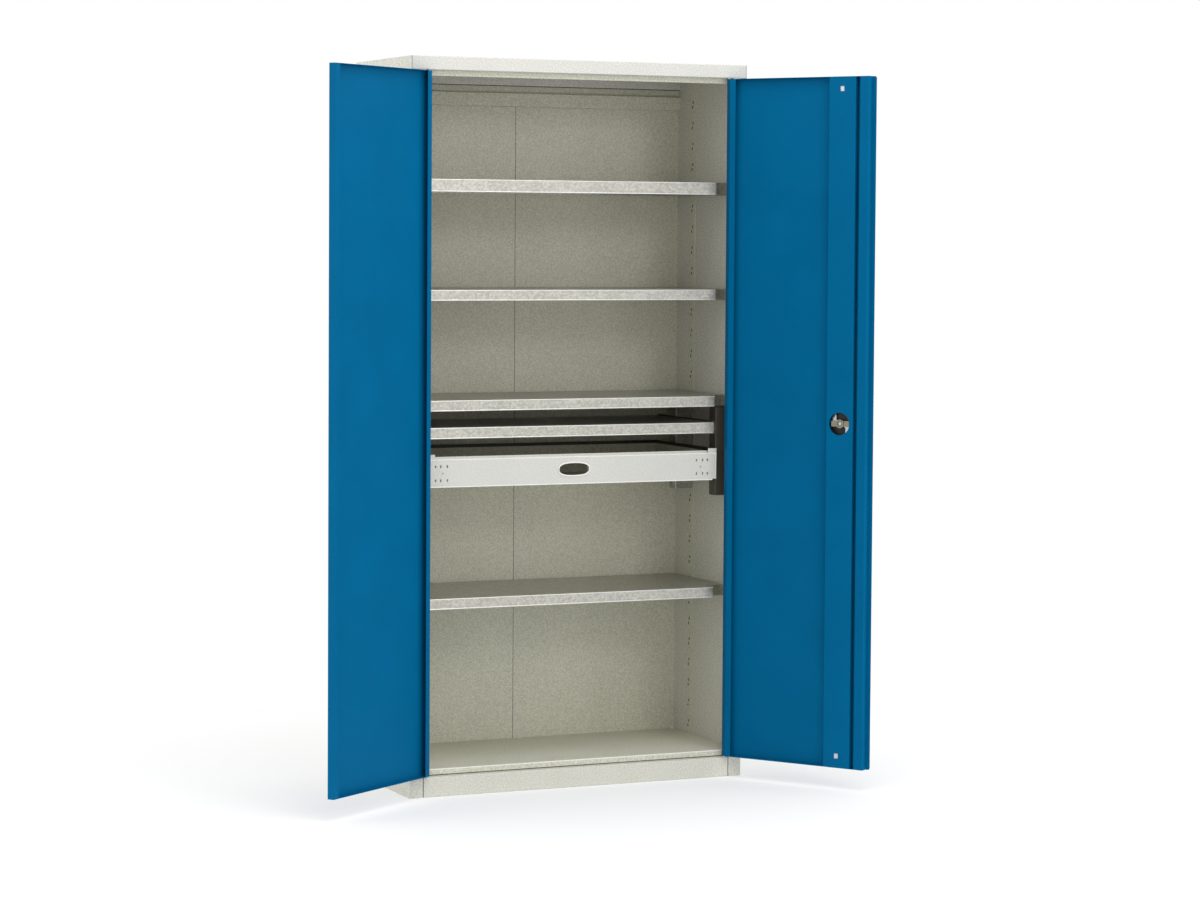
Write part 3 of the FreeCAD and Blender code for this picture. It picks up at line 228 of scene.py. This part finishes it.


# Slot shade: the pairs of slots in the uprights open into a narrow hollow against the wall that gets no
# light.
# Each slot holds a shallow dark block just below its rim, painted shade for that hollow.
def skin(name, shells, loop=False):
    """Closed skins, one for each shell. A shell is a row of rings of points, carried along a path:
    quads join each ring to the next one. A flat face closes each end, or the last ring of a loop is
    joined to its first."""
    shells = np.asarray(shells, dtype=float)
    count, along, around = shells.shape[:3]
    index = np.arange(count * along * around).reshape(count, along, around)
    rows = np.concatenate([index, index[:, :1]], axis=1) if loop else index
    ahead = np.roll(rows, -1, axis=2)
    quads = np.stack([rows[:, :-1], ahead[:, :-1], ahead[:, 1:], rows[:, 1:]], axis=-1).reshape(-1, 4)
    ends = [] if loop else np.concatenate([index[:, 0, ::-1], index[:, -1]]).tolist()
    mesh = bpy.data.meshes.new(name)
    mesh.from_pydata(shells.reshape(-1, 3).tolist(), [], quads.tolist() + ends)
    turned_out = bmesh.new()
    turned_out.from_mesh(mesh)
    bmesh.ops.recalc_face_normals(turned_out, faces=turned_out.faces)
    turned_out.to_mesh(mesh)
    turned_out.free()
    piece = bpy.data.objects.new(name, mesh)
    bpy.context.scene.collection.objects.link(piece)
    return piece


def fit(piece, material, body):
    """Gives a new piece its finish and the body that it moves with."""
    piece.data.materials.append(material)
    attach(piece, body)


def blocks(low, high):
    """Upright blocks between two rows of corners: four corners, carried from the low to the high z."""
    low, high = np.broadcast_arrays(low, high)
    x = np.stack([low[:, 0], high[:, 0], high[:, 0], low[:, 0]], axis=1)
    y = np.stack([low[:, 1], low[:, 1], high[:, 1], high[:, 1]], axis=1)
    rings = [np.stack([x, y, np.repeat(z[:, None], 4, axis=1)], axis=2) for z in (low[:, 2], high[:, 2])]
    return np.stack(rings, axis=1)


SLOT_BASE = 101.5 * MM
SLOT_PITCH = 60.0 * MM
SLOT_COUNT = 31
SLOT_SIZE = np.array([7.0, 8.0]) * MM
SLOT_PAIR_SPACING = 14.0 * MM
SLOT_PAIR_SHIFT = 2.0 * MM
SHADE_MARGIN = 0.1 * MM
SHADE_RIM = 0.5 * MM

slot_hollow_shade = dark_finish_and_painted_shade("painted_shade_slot_hollow", "#2E2C26", "#1D1B18")
for upright in ("left_front_upright", "right_front_upright", "left_rear_upright", "right_rear_upright"):
    low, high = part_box(upright)
    pair, way = np.meshgrid(np.arange(SLOT_COUNT), np.array([-1, 1]))
    middle_y = (low.y + high.y) / 2 - way.ravel() * SLOT_PAIR_SHIFT
    middle_z = SLOT_BASE + SLOT_PITCH * pair.ravel() + way.ravel() * SLOT_PAIR_SPACING / 2
    half_y, half_z = SLOT_SIZE / 2 - SHADE_MARGIN
    inset = np.array([SHADE_MARGIN, SHADE_RIM] if low.x < 0 else [SHADE_RIM, SHADE_MARGIN])
    low_x = np.full(middle_y.shape, low.x + inset[0])
    high_x = np.full(middle_y.shape, high.x - inset[1])
    slot_shade_blocks = blocks(
        np.stack([low_x, middle_y - half_y, middle_z - half_z], axis=1),
        np.stack([high_x, middle_y + half_y, middle_z + half_z], axis=1),
    )
    fit(skin(upright + "_slot_painted_shade", slot_shade_blocks), slot_hollow_shade, "carcass")


# Joint lines: the lap of the two back sheets, inside and outside, the lower edge of the top's rear
# flange, the foot of the floor's front lip, the ends of the plinth and the front corners of the top
# are open joints, too narrow for light to reach into. Each holds a thin dark strip of painted shade.
BACK_LINE_WIDTH = 1.6 * MM
FLANGE_LINE_HEIGHT = 2.4 * MM
FLOOR_LINE_HEIGHT = 2.6 * MM
PLINTH_LINE_WIDTH = 1.8 * MM
PLINTH_LINE_FOOT = 0.5 * MM
FASCIA_HEIGHT = 37.0 * MM
CORNER_LINE_WIDTH = 1.0 * MM
FLANGE_FACE = 206.5 * MM
FLANGE_HALF_LENGTH = 497.0 * MM
LINE_PROUD = 0.15 * MM
LINE_DEPTH = 0.6 * MM

joint_painted_shade = dark_finish_and_painted_shade("painted_shade_joint_gap", "#605E52", "#4C4A40")
left_low, left_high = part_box("back_panel_left")
right_low, right_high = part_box("back_panel_right")
rail_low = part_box("rear_top_rail")[0]
top_low, top_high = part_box("top_panel")
floor_low, floor_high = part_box("floor_panel")
plinth_low, plinth_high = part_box("front_plinth")
ledge_end = plinth_high.x
plinth_ends = (-ledge_end - PLINTH_LINE_WIDTH / 2, ledge_end - PLINTH_LINE_WIDTH / 2)
corners = (top_low.x - LINE_PROUD, top_high.x - CORNER_LINE_WIDTH)
corner_width = CORNER_LINE_WIDTH + LINE_PROUD
line_starts = np.array([
    [right_low.x - BACK_LINE_WIDTH, left_low.y - LINE_PROUD, floor_high.z],
    [-FLANGE_HALF_LENGTH, FLANGE_FACE, top_low.z - FLANGE_LINE_HEIGHT],
    [left_high.x, right_high.y - LINE_DEPTH, right_low.z],
    [-ledge_end, floor_low.y - LINE_PROUD, floor_low.z],
    *[[x, plinth_low.y - LINE_PROUD, plinth_low.z + PLINTH_LINE_FOOT] for x in plinth_ends],
    *[[x, top_low.y - LINE_PROUD, top_high.z - FASCIA_HEIGHT] for x in corners],
])
line_ends = np.array([
    [right_low.x, left_low.y + LINE_DEPTH, rail_low.z],
    [FLANGE_HALF_LENGTH, FLANGE_FACE + LINE_DEPTH, top_low.z],
    [left_high.x + BACK_LINE_WIDTH, right_high.y + LINE_PROUD, right_high.z],
    [ledge_end, floor_low.y + LINE_DEPTH, floor_low.z + FLOOR_LINE_HEIGHT],
    *[[x + PLINTH_LINE_WIDTH, plinth_low.y + LINE_DEPTH, plinth_high.z] for x in plinth_ends],
    *[[x + corner_width, top_low.y + LINE_DEPTH, top_high.z - LINE_PROUD] for x in corners],
])
lines = blocks(line_starts, line_ends)
fit(skin("carcass_joint_lines", lines), joint_painted_shade, "carcass")


# Telescopic slides: a fixed, a middle and an inner rail on each side, roll-formed from strip.
# Black phosphate and grease leave them dark and half matt, darker than the shelves.
def greased_rail_steel(name, light, dark):
    """Phosphated strip with a film of grease: dark, with lines drawn along Y, 2 mm apart."""
    material, tree, place = new_finish(name)
    drawn = noise(tree, stretched(tree, place, (1.0, 0.03, 1.0)), size=2.0, detail=3.0)
    smear = noise(tree, place, size=25.0, detail=2.0)
    tone = ramp(tree, blend(tree, drawn, smear, share=0.5), start=(0.3, 0.7))
    close_finish(tree, {
        "Base Color": two_tone(tree, tone, light, dark),
        "Roughness": ramp(tree, smear, end=(0.4, 0.6)),
        "IOR": 1.6,
    })
    return material


rail_steel = greased_rail_steel("greased_phosphated_slide_steel", "#74603C", "#46371D")
paint(
    rail_steel, "left_tray_fixed_rail", "right_tray_fixed_rail", "left_drawer_fixed_rail",
    "right_drawer_fixed_rail", "tray_middle_rails", "drawer_middle_rails", "tray_inner_rails",
    "drawer_inner_rails",
)


# Slide fittings: a white nylon ball retainer near the front end of each middle rail, cut in a double
# wave, a flat clip across the mouth of each inner rail, and three zinc-plated screws in its web.
def moulded_nylon(name, light, dark):
    """Natural nylon, injection moulded: waxy, half matt, with slight flow marks drawn 8 mm wide."""
    material, tree, place = new_finish(name)
    flow = noise(tree, place, size=8.0, detail=2.0)
    close_finish(tree, {
        "Base Color": two_tone(tree, flow, light, dark),
        "Roughness": ramp(tree, flow, end=(0.38, 0.5)),
        "IOR": 1.53,
    })
    return material


def zinc_plate(name, light, dark, rough, rough_change=0.08):
    """Bright zinc plating on pressed steel: cool grey metal, faintly clouded. The crystals are too
    fine to see, so the clouding is drawn at 4 mm."""
    material, tree, place = new_finish(name)
    cloud = noise(tree, place, size=4.0, detail=4.0)
    close_finish(tree, {
        "Base Color": two_tone(tree, cloud, light, dark),
        "Metallic": 1.0,
        "Roughness": ramp(tree, cloud, end=(rough - rough_change, rough + rough_change)),
    })
    return material


def flat_strip(path, width, faces):
    """A flat strip in the plane of a rail: its middle follows a path of (y, z) points, its two
    edges lie half its width to either side, square to the path, and it is as thick as its faces
    are apart in x."""
    ahead = np.gradient(path, axis=0)
    ahead /= np.linalg.norm(ahead, axis=1, keepdims=True)
    across = np.stack([-ahead[:, 1], ahead[:, 0]], axis=1) * np.asarray(width).reshape(-1, 1) / 2
    rings = [
        np.concatenate([np.full((len(path), 1), x), path + side * across], axis=1)
        for x, side in ((faces[0], -1), (faces[1], -1), (faces[1], 1), (faces[0], 1))
    ]
    return np.stack(rings, axis=1)


def pan_head(middle, outward, radius, height, corners=24):
    """A pan head turned about X: shares of its radius and its height follow a rounded profile that
    ends in a round socket."""
    profile = np.array([
        [1.0, 0.0], [1.0, 0.45], [0.94, 0.75], [0.78, 0.95], [0.52, 1.0], [0.44, 0.97], [0.42, 0.4],
    ])
    angle = np.linspace(0, 2 * np.pi, corners, endpoint=False)
    ring = np.stack([np.zeros_like(angle), np.cos(angle), np.sin(angle)], axis=1)
    rise = np.stack([profile[:, 1] * height * outward, 0 * profile[:, 1], 0 * profile[:, 1]], axis=1)
    reach = (profile[:, 0] * radius)[:, None, None]
    return np.asarray(middle) + rise[:, None, :] + ring[None, :, :] * reach


white_nylon = moulded_nylon("white_moulded_nylon", "#F0EEE6", "#E0DDD4")
bright_zinc = zinc_plate("bright_zinc_plated_steel", "#DADCDD", "#B9BCBE", 0.3)
RETAINER_SETBACK = 24.0 * MM
RETAINER_WAVE = 7.0 * MM
RETAINER_WIDTH = 7.0 * MM
RETAINER_END_WIDTH = 15.0 * MM
RETAINER_SPAN = 0.9
RETAINER_HALF_WAVES = 3
RETAINER_FLARE_POWER = 8
RETAINER_PROUD = 0.2 * MM
CLIP_SETBACK = 4.5 * MM
CLIP_REACH = 14.0 * MM
CLIP_STROKE = 6.0 * MM
CLIP_CORNER_POWER = 0.35
CLIP_FACES = np.array([0.7, 0.1]) * MM
STRIP_POINTS = 41
RAIL_WALL = 1.2 * MM
INNER_RAIL_DEPTH = 8.9 * MM
SLIDE_SCREW_PLACES = np.array([26.0, 150.0, 320.0]) * MM
SLIDE_SCREW_RADIUS = 4.2 * MM
SLIDE_SCREW_HEIGHT = 2.2 * MM
SIDES = (-1, 1)

for load in ("tray", "drawer"):
    low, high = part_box(load + "_middle_rails")
    middle_z = (low.z + high.z) / 2
    rise = np.linspace(-1, 1, STRIP_POINTS)
    wave = low.y + RETAINER_SETBACK - RETAINER_WAVE * np.cos(RETAINER_HALF_WAVES * np.pi * rise)
    width = RETAINER_WIDTH + (RETAINER_END_WIDTH - RETAINER_WIDTH) * rise ** RETAINER_FLARE_POWER
    path = np.stack([wave, middle_z + rise * RETAINER_SPAN * (high.z - low.z) / 2], axis=1)
    faces = np.array([high.x, high.x + RETAINER_PROUD])
    retainers = [flat_strip(path, width, side * faces) for side in SIDES]
    fit(skin(load + "_slide_retainers", retainers), white_nylon, load + "_middle")

    low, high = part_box(load + "_inner_rails")
    turn = np.linspace(-np.pi / 2, np.pi / 2, STRIP_POINTS)
    half = (high.z - low.z) / 2 - RAIL_WALL - CLIP_STROKE / 2
    bend_y = low.y + CLIP_SETBACK + CLIP_REACH * (1 - np.cos(turn) ** CLIP_CORNER_POWER)
    bend_z = middle_z + half * np.sign(turn) * np.abs(np.sin(turn)) ** CLIP_CORNER_POWER
    path = np.stack([bend_y, bend_z], axis=1)
    clips = [flat_strip(path, CLIP_STROKE, side * (high.x - CLIP_FACES)) for side in SIDES]
    fit(skin(load + "_rail_clips", clips), white_nylon, load)

    web = high.x - INNER_RAIL_DEPTH + RAIL_WALL
    heads = [
        pan_head((side * web, low.y + place, middle_z), side, SLIDE_SCREW_RADIUS, SLIDE_SCREW_HEIGHT)
        for side in SIDES for place in SLIDE_SCREW_PLACES
    ]
    fit(skin(load + "_rail_screws", heads), bright_zinc, load)


# Pull-out shelf: a galvanised pan between the inner rails, folded like the shelves. The folds
# along the upper and lower edge of every lip carry half-round beads in a lighter zinc, a painted
# highlight where the bends catch the light.
paint(galvanised, "tray_panel")

LIP_HALF_LENGTH = 431.0 * MM
TRAY_LIP_HALF_LENGTH = 428.0 * MM
LIP_EDGE_RADIUS = 1.8 * MM
LIP_EDGE_PROUD = 0.7 * MM
FORWARD = (0, -1, 0)


def half_round(start, end, outward, radius, proud, points=13):
    """A half-round strip: a half circle that faces outwards, carried from start to end. Its middle
    lies below the surface, so that it stands proud by less than its radius."""
    start, end, outward = (np.asarray(v, dtype=float) for v in (start, end, outward))
    run = (end - start) / np.linalg.norm(end - start)
    angle = np.linspace(-np.pi / 2, np.pi / 2, points)[:, None]
    rise = (proud - radius + radius * np.cos(angle)) * outward
    ring = rise + radius * np.sin(angle) * np.cross(run, outward)
    return np.stack([start + ring, end + ring])


lip_edge_highlight = galvanised_sheet("painted_highlight_zinc_edge", "#EDECE7", "#DCDAD3")
for lip, half, body in (
    ("shelf_1", LIP_HALF_LENGTH, "carcass"), ("shelf_2", LIP_HALF_LENGTH, "carcass"),
    ("shelf_3", LIP_HALF_LENGTH, "carcass"), ("shelf_4", LIP_HALF_LENGTH, "carcass"),
    ("tray_panel", TRAY_LIP_HALF_LENGTH, "tray"),
):
    low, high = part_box(lip)
    edges = [
        half_round((-half, low.y, z), (half, low.y, z), FORWARD, LIP_EDGE_RADIUS, LIP_EDGE_PROUD)
        for z in (low.z + LIP_EDGE_RADIUS, high.z - LIP_EDGE_RADIUS)
    ]
    fit(skin(lip + "_edges", edges), lip_edge_highlight, body)


# Floor edge: the floor's front fold carries a pale half-round bead, a painted highlight where the
# bend catches the light, and three white plug heads in its lip fix it to the plinth. All of it
# clears the shut doors by a hair.
FLOOR_EDGE_RADIUS = 2.0 * MM
FLOOR_EDGE_PROUD = 0.3 * MM
PLUG_PLACES = np.array([-400.0, 0.0, 400.0]) * MM
PLUG_HALF_LENGTH = 4.0 * MM
PLUG_RADIUS = 3.0 * MM
PLUG_PROUD = 0.3 * MM

pale_edge_highlight = textured_grey_coat("off_white_painted_highlight_edge", "#EFEEE9", "#E4E3DD")
edge_z = floor_high.z - FLOOR_EDGE_RADIUS
floor_edge = half_round(
    (-ledge_end, floor_low.y, edge_z), (ledge_end, floor_low.y, edge_z), FORWARD,
    FLOOR_EDGE_RADIUS, FLOOR_EDGE_PROUD,
)
fit(skin("floor_front_edge", [floor_edge]), pale_edge_highlight, "carcass")
plug_z = (floor_low.z + floor_high.z) / 2
plugs = [
    half_round(
        (x - PLUG_HALF_LENGTH, floor_low.y, plug_z), (x + PLUG_HALF_LENGTH, floor_low.y, plug_z), FORWARD,
        PLUG_RADIUS, PLUG_PROUD,
    )
    for x in PLUG_PLACES
]
fit(skin("floor_lip_plugs", plugs), white_nylon, "carcass")


# Drawer: an open box of grey coated sheet with a separate pressed front, screwed through its
# rim. Black plastic edging is pushed over the rims of the sides and the rear.
front_coat = textured_grey_coat("off_white_drawer_powder_coat", "#D2D1CA", "#C4C3BC")
# The drawer body takes the warmer copy of the coat: painted shade, which also offsets the blue light
# bounced onto it from the doors.
paint(inner_shade_coat, "drawer_body")
paint(front_coat, "drawer_front")


def extruded_edging(name, light, dark):
    """Soft PVC edging, extruded: half matt black with die lines along its length, drawn 3 mm apart."""
    material, tree, place = new_finish(name)
    die_line = noise(tree, stretched(tree, place, (0.1, 0.1, 1.0)), size=3.0, detail=2.0)
    close_finish(tree, {
        "Base Color": two_tone(tree, die_line, light, dark),
        "Roughness": ramp(tree, die_line, end=(0.4, 0.55)),
        "IOR": 1.53,
    })
    return material


paint(extruded_edging("black_extruded_edging", "#302C25", "#1F1C17"), "drawer_trim")

BEAD_RADIUS = 1.4 * MM
BEAD_PROUD = 1.0 * MM
BEAD_DROPS = np.array([16.0, 74.5]) * MM
BEAD_END_GAP = 8.0 * MM

low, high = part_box("drawer_body")
bead_start, bead_end = low.y + BEAD_END_GAP, high.y - BEAD_END_GAP
beads = [
    half_round(
        (side * high.x, bead_start, high.z - drop), (side * high.x, bead_end, high.z - drop), (side, 0, 0),
        BEAD_RADIUS, BEAD_PROUD,
    )
    for side in SIDES for drop in BEAD_DROPS
]
# The beads take the same warmer copy of the coat, painted shade like the drawer body.
fit(skin("drawer_side_beads", beads), inner_shade_coat, "drawer")

FRONT_FACE = -172.5 * MM
FRONT_SIDE = 438.0 * MM
FRONT_LOW = 835.5 * MM
FRONT_HIGH = 912.5 * MM
FRONT_STEP = np.array([12.0, 4.0]) * MM
FRONT_EDGE_RADIUS = 1.5 * MM
FRONT_EDGE_PROUD = 0.6 * MM
GRIP_HALF = np.array([46.5, 18.5]) * MM
GRIP_POWER = 2 / 2.5
GRIP_RISE = 3.0 * MM
GRIP_RIM_RADIUS = 2.0 * MM
GRIP_RIM_FACE = -173.4 * MM

inner_side = FRONT_SIDE - FRONT_STEP[0]
inner_low = FRONT_LOW + FRONT_STEP[1]
edge_side = FRONT_SIDE - FRONT_EDGE_RADIUS
edge_low, edge_high = FRONT_LOW + FRONT_EDGE_RADIUS, FRONT_HIGH - FRONT_EDGE_RADIUS
# The folded edges of the drawer front are drawn as pale half-round beads: a painted highlight where the
# folds catch the light.
edge_lines = [
    ((-inner_side, FRONT_FACE, edge_low), (inner_side, FRONT_FACE, edge_low)),
    ((-FRONT_SIDE, FRONT_FACE, edge_high), (FRONT_SIDE, FRONT_FACE, edge_high)),
    *[((x, FRONT_FACE, inner_low), (x, FRONT_FACE, FRONT_HIGH)) for x in (-edge_side, edge_side)],
]
front_edges = [
    half_round(start, end, FORWARD, FRONT_EDGE_RADIUS, FRONT_EDGE_PROUD) for start, end in edge_lines
]
fit(skin("drawer_front_edges", front_edges), pale_edge_highlight, "drawer")


def oval_rim(middle, half, radius, points=96, corners=12):
    """A round bead bent to an oval in the XZ plane: the oval's x and z are powers of the cosine and
    the sine of one turn, and the bead's circle stands square to its outline."""
    turn = np.linspace(0, 2 * np.pi, points, endpoint=False)
    bend = np.sign([np.cos(turn), np.sin(turn)]) * np.abs([np.cos(turn), np.sin(turn)]) ** GRIP_POWER
    x, z = bend * half[:, None]
    ahead = np.stack([np.roll(x, -1) - np.roll(x, 1), np.roll(z, -1) - np.roll(z, 1)])
    out_x, out_z = np.stack([ahead[1], -ahead[0]]) / np.linalg.norm(ahead, axis=0)
    around = np.linspace(0, 2 * np.pi, corners, endpoint=False)
    swell = radius * np.cos(around)
    return np.stack([
        middle[0] + x[:, None] + out_x[:, None] * swell,
        np.broadcast_to(middle[1] + radius * np.sin(around), (len(turn), len(around))),
        middle[2] + z[:, None] + out_z[:, None] * swell,
    ], axis=2)


# The rim round the grip is a round bead in the same pale coat: a painted highlight along the rim.
grip_middle = (0.0, GRIP_RIM_FACE, (FRONT_LOW + FRONT_HIGH) / 2 + GRIP_RISE)
grip_rim = oval_rim(grip_middle, GRIP_HALF, GRIP_RIM_RADIUS)
fit(skin("drawer_grip_rim", [grip_rim], loop=True), pale_edge_highlight, "drawer")


# Doors: two folded steel pans, hung on pins at their top and bottom corners. Powder coated
# blue, smooth but for a slight orange peel. A cover strip on the right one laps over the left.
def smooth_blue_coat(name, light, dark):
    """Smooth polyester powder coat: satin, with orange peel of about 3 mm and slow changes of
    tone over a hand's breadth."""
    material, tree, place = new_finish(name)
    peel = noise(tree, place, size=3.0, detail=1.0)
    cloud = noise(tree, place, size=140.0, detail=2.0)
    tone = ramp(tree, blend(tree, cloud, peel, share=0.35), start=(0.3, 0.7))
    close_finish(tree, {
        "Base Color": two_tone(tree, tone, light, dark),
        "Roughness": ramp(tree, peel, end=(0.42, 0.54)),
        "Specular IOR Level": 0.03,
        "Normal": relief(tree, peel, strength=0.12, depth=0.2),
    })
    return material


blue_coat = smooth_blue_coat("blue_smooth_powder_coat", "#00628F", "#005D88")
paint(blue_coat, "left_door_shell", "right_door_shell", "right_door_cover_strip")


# Door pivots: bright turned pins in the carcass, running in dark moulded nylon blocks inside the
# ends of the doors.
dark_nylon = moulded_nylon("dark_moulded_nylon", "#2A2E32", "#1D2023")
turned_steel = zinc_plate("bright_turned_pin_steel", "#D3D4D6", "#B2B4B6", 0.22)
paint(dark_nylon, "left_pivot_blocks", "right_pivot_blocks")
paint(turned_steel, "left_pivot_pins", "right_pivot_pins")


# Lock: a folded cover band on the right door hides two flat rods and the cam that drives them.
# The cam sits on the spindle of a black moulded handle, outside, which holds the key cylinder.
def moulded_black(name, light, dark):
    """Black glass-filled plastic from a spark-eroded mould: a grain of about 0.8 mm, drawn at 1.5 mm."""
    material, tree, place = new_finish(name)
    sockets = {"Vector": place, "Scale": per_metre(1.5)}
    grain = add(tree, "ShaderNodeTexVoronoi", sockets).outputs["Distance"]
    close_finish(tree, {
        "Base Color": two_tone(tree, grain, light, dark),
        "Roughness": ramp(tree, grain, end=(0.4, 0.58)),
        "IOR": 1.52,
        "Normal": relief(tree, grain, strength=0.2, depth=0.1),
    })
    return material


black_plastic = moulded_black("black_grained_plastic", "#26272A", "#17181A")
paint(blue_coat, "lock_band")
paint(moulded_nylon("natural_moulded_nylon", "#DAD5D8", "#CBC7CA"), "rod_guides")
paint(black_plastic, "lock_plate", "handle_escutcheon", "turn_handle")
cast_zinc = zinc_plate("cast_zinc_alloy", "#B4AC98", "#857D6B", 0.42)
paint(cast_zinc, "lock_cam")
paint(bright_zinc, "spindle_bush", "key_cylinder", "lock_spindle", "cam_screw")
paint(bright_zinc, "upper_lock_rod", "lower_lock_rod")


# Floor: a plain pale ground that keeps the cabinet's shadow and fades into the white room. Seen
# straight or in a shiny surface, part of it is plain white, which keeps the shadow light.
FLOOR_REACH = 2.6
FLOOR_WHITE_SHARE = 0.38
FLOOR_FADE = (1.2, 2.4)
FLOOR_MIDDLE = (0.0, -0.4, 0.0)


def flat_square(name, reach, middle, height):
    """A level square: x and y run over plus and minus its reach about its middle."""
    side = np.array([-reach, reach])
    x, y = np.meshgrid(side + middle[0], side + middle[1])
    points = np.stack([x.ravel(), y.ravel(), np.full(4, height)], axis=1)
    mesh = bpy.data.meshes.new(name)
    mesh.from_pydata(points.tolist(), [], [(0, 1, 3, 2)])
    piece = bpy.data.objects.new(name, mesh)
    bpy.context.scene.collection.objects.link(piece)
    return piece


ground = flat_square("studio_floor", FLOOR_REACH, FLOOR_MIDDLE, cad_box[0].z)
ground_paint, tree, place = new_finish("pale_studio_floor")
away = add(tree, "ShaderNodeVectorMath", {0: place, 1: FLOOR_MIDDLE}, operation="DISTANCE")
fade_span = {"Value": away.outputs["Value"], "From Min": FLOOR_FADE[0], "From Max": FLOOR_FADE[1]}
fade = add(tree, "ShaderNodeMapRange", fade_span, interpolation_type="SMOOTHSTEP")
pale = add(tree, "ShaderNodeBsdfDiffuse", {"Color": linear("#F7F7F7")})
plain_white = add(tree, "ShaderNodeEmission", {"Color": linear("#FFFFFF"), "Strength": 1.0})
ray = add(tree, "ShaderNodeLightPath").outputs
in_shine = {0: ray["Is Glossy Ray"], 1: ray["Is Transmission Ray"]}
shiny = add(tree, "ShaderNodeMath", in_shine, operation="MAXIMUM")
seen = add(tree, "ShaderNodeMath", {0: ray["Is Camera Ray"], 1: shiny.outputs[0]}, operation="MAXIMUM")
share = add(tree, "ShaderNodeMath", {0: seen.outputs[0], 1: FLOOR_WHITE_SHARE}, operation="MULTIPLY")
ground_mix = {0: share.outputs[0], 1: pale.outputs[0], 2: plain_white.outputs[0]}
ground_look = add(tree, "ShaderNodeMixShader", ground_mix)
clear = add(tree, "ShaderNodeBsdfTransparent")
edge_mix = {0: fade.outputs[0], 1: ground_look.outputs[0], 2: clear.outputs[0]}
edge = add(tree, "ShaderNodeMixShader", edge_mix)
add(tree, "ShaderNodeOutputMaterial", {"Surface": edge.outputs[0]})
ground.data.materials.append(ground_paint)


# Light: an even white room, with a soft box above the cabinet, a smaller one high in front of it,
# one to its right and one to its left, so that its folds and edges turn a little from side to side.
SOFT_BOXES = {
    "top_soft_box": {"place": (0.0, -2.6, 5.4), "size": (3.0, 3.0), "power": 75.0},
    "front_soft_box": {"place": (0.9, -6.4, 3.4), "size": (1.2, 1.2), "power": 36.0},
    "right_soft_box": {"place": (4.6, -3.0, 2.8), "size": (2.6, 2.6), "power": 25.0},
    "flank_soft_box": {"place": (-5.0, 0.6, 2.6), "size": (2.6, 2.6), "power": 32.0},
}
LAMP_AIM = Vector((0.0, -0.2, 1.0))

for name, box in SOFT_BOXES.items():
    light = bpy.data.lights.new(name, "AREA")
    light.shape = "RECTANGLE"
    light.size, light.size_y = box["size"]
    light.energy = box["power"]
    lamp = bpy.data.objects.new(name, light)
    lamp.location = box["place"]
    lamp.rotation_mode = "QUATERNION"
    lamp.rotation_quaternion = (LAMP_AIM - lamp.location).to_track_quat("-Z", "Y")
    bpy.context.scene.collection.objects.link(lamp)

room = bpy.data.worlds.new("white_room")
room.use_nodes = True
tree = room.node_tree
tree.nodes.clear()
white = add(tree, "ShaderNodeBackground", {"Color": linear("#FFFFFF"), "Strength": 1.0})
add(tree, "ShaderNodeOutputWorld", {"Surface": white.outputs[0]})
bpy.context.scene.world = room


# Camera: at eye height, to the left of the cabinet and about nine metres away, as in the photograph.
# It dips a little, and a small shift does the rest of the framing.
IMAGE_WIDTH = 1200
FOCAL_PIXELS = 3198.2
SENSOR_WIDTH = 36.0
CAMERA_PLACE = Vector((-3.5577, -8.2392, 1.5275))
CAMERA_TURN = math.radians(24.255)
CAMERA_DIP = math.radians(2.801)
CAMERA_ROLL = math.radians(0.369)
SHIFT_PIXELS = 60

camera = bpy.data.cameras.new("photo_camera")
camera.sensor_width = SENSOR_WIDTH
camera.lens = FOCAL_PIXELS / IMAGE_WIDTH * SENSOR_WIDTH
camera.shift_y = -SHIFT_PIXELS / IMAGE_WIDTH
camera_stand = bpy.data.objects.new("photo_camera", camera)
dipped = Matrix.Rotation(math.radians(90) - CAMERA_DIP, 4, "X")
turned = Matrix.Rotation(-CAMERA_TURN, 4, "Z") @ dipped @ Matrix.Rotation(CAMERA_ROLL, 4, "Z")
camera_stand.matrix_world = Matrix.Translation(CAMERA_PLACE) @ turned
bpy.context.scene.collection.objects.link(camera_stand)
bpy.context.scene.camera = camera_stand
bpy.context.scene.view_settings.view_transform = "Standard"
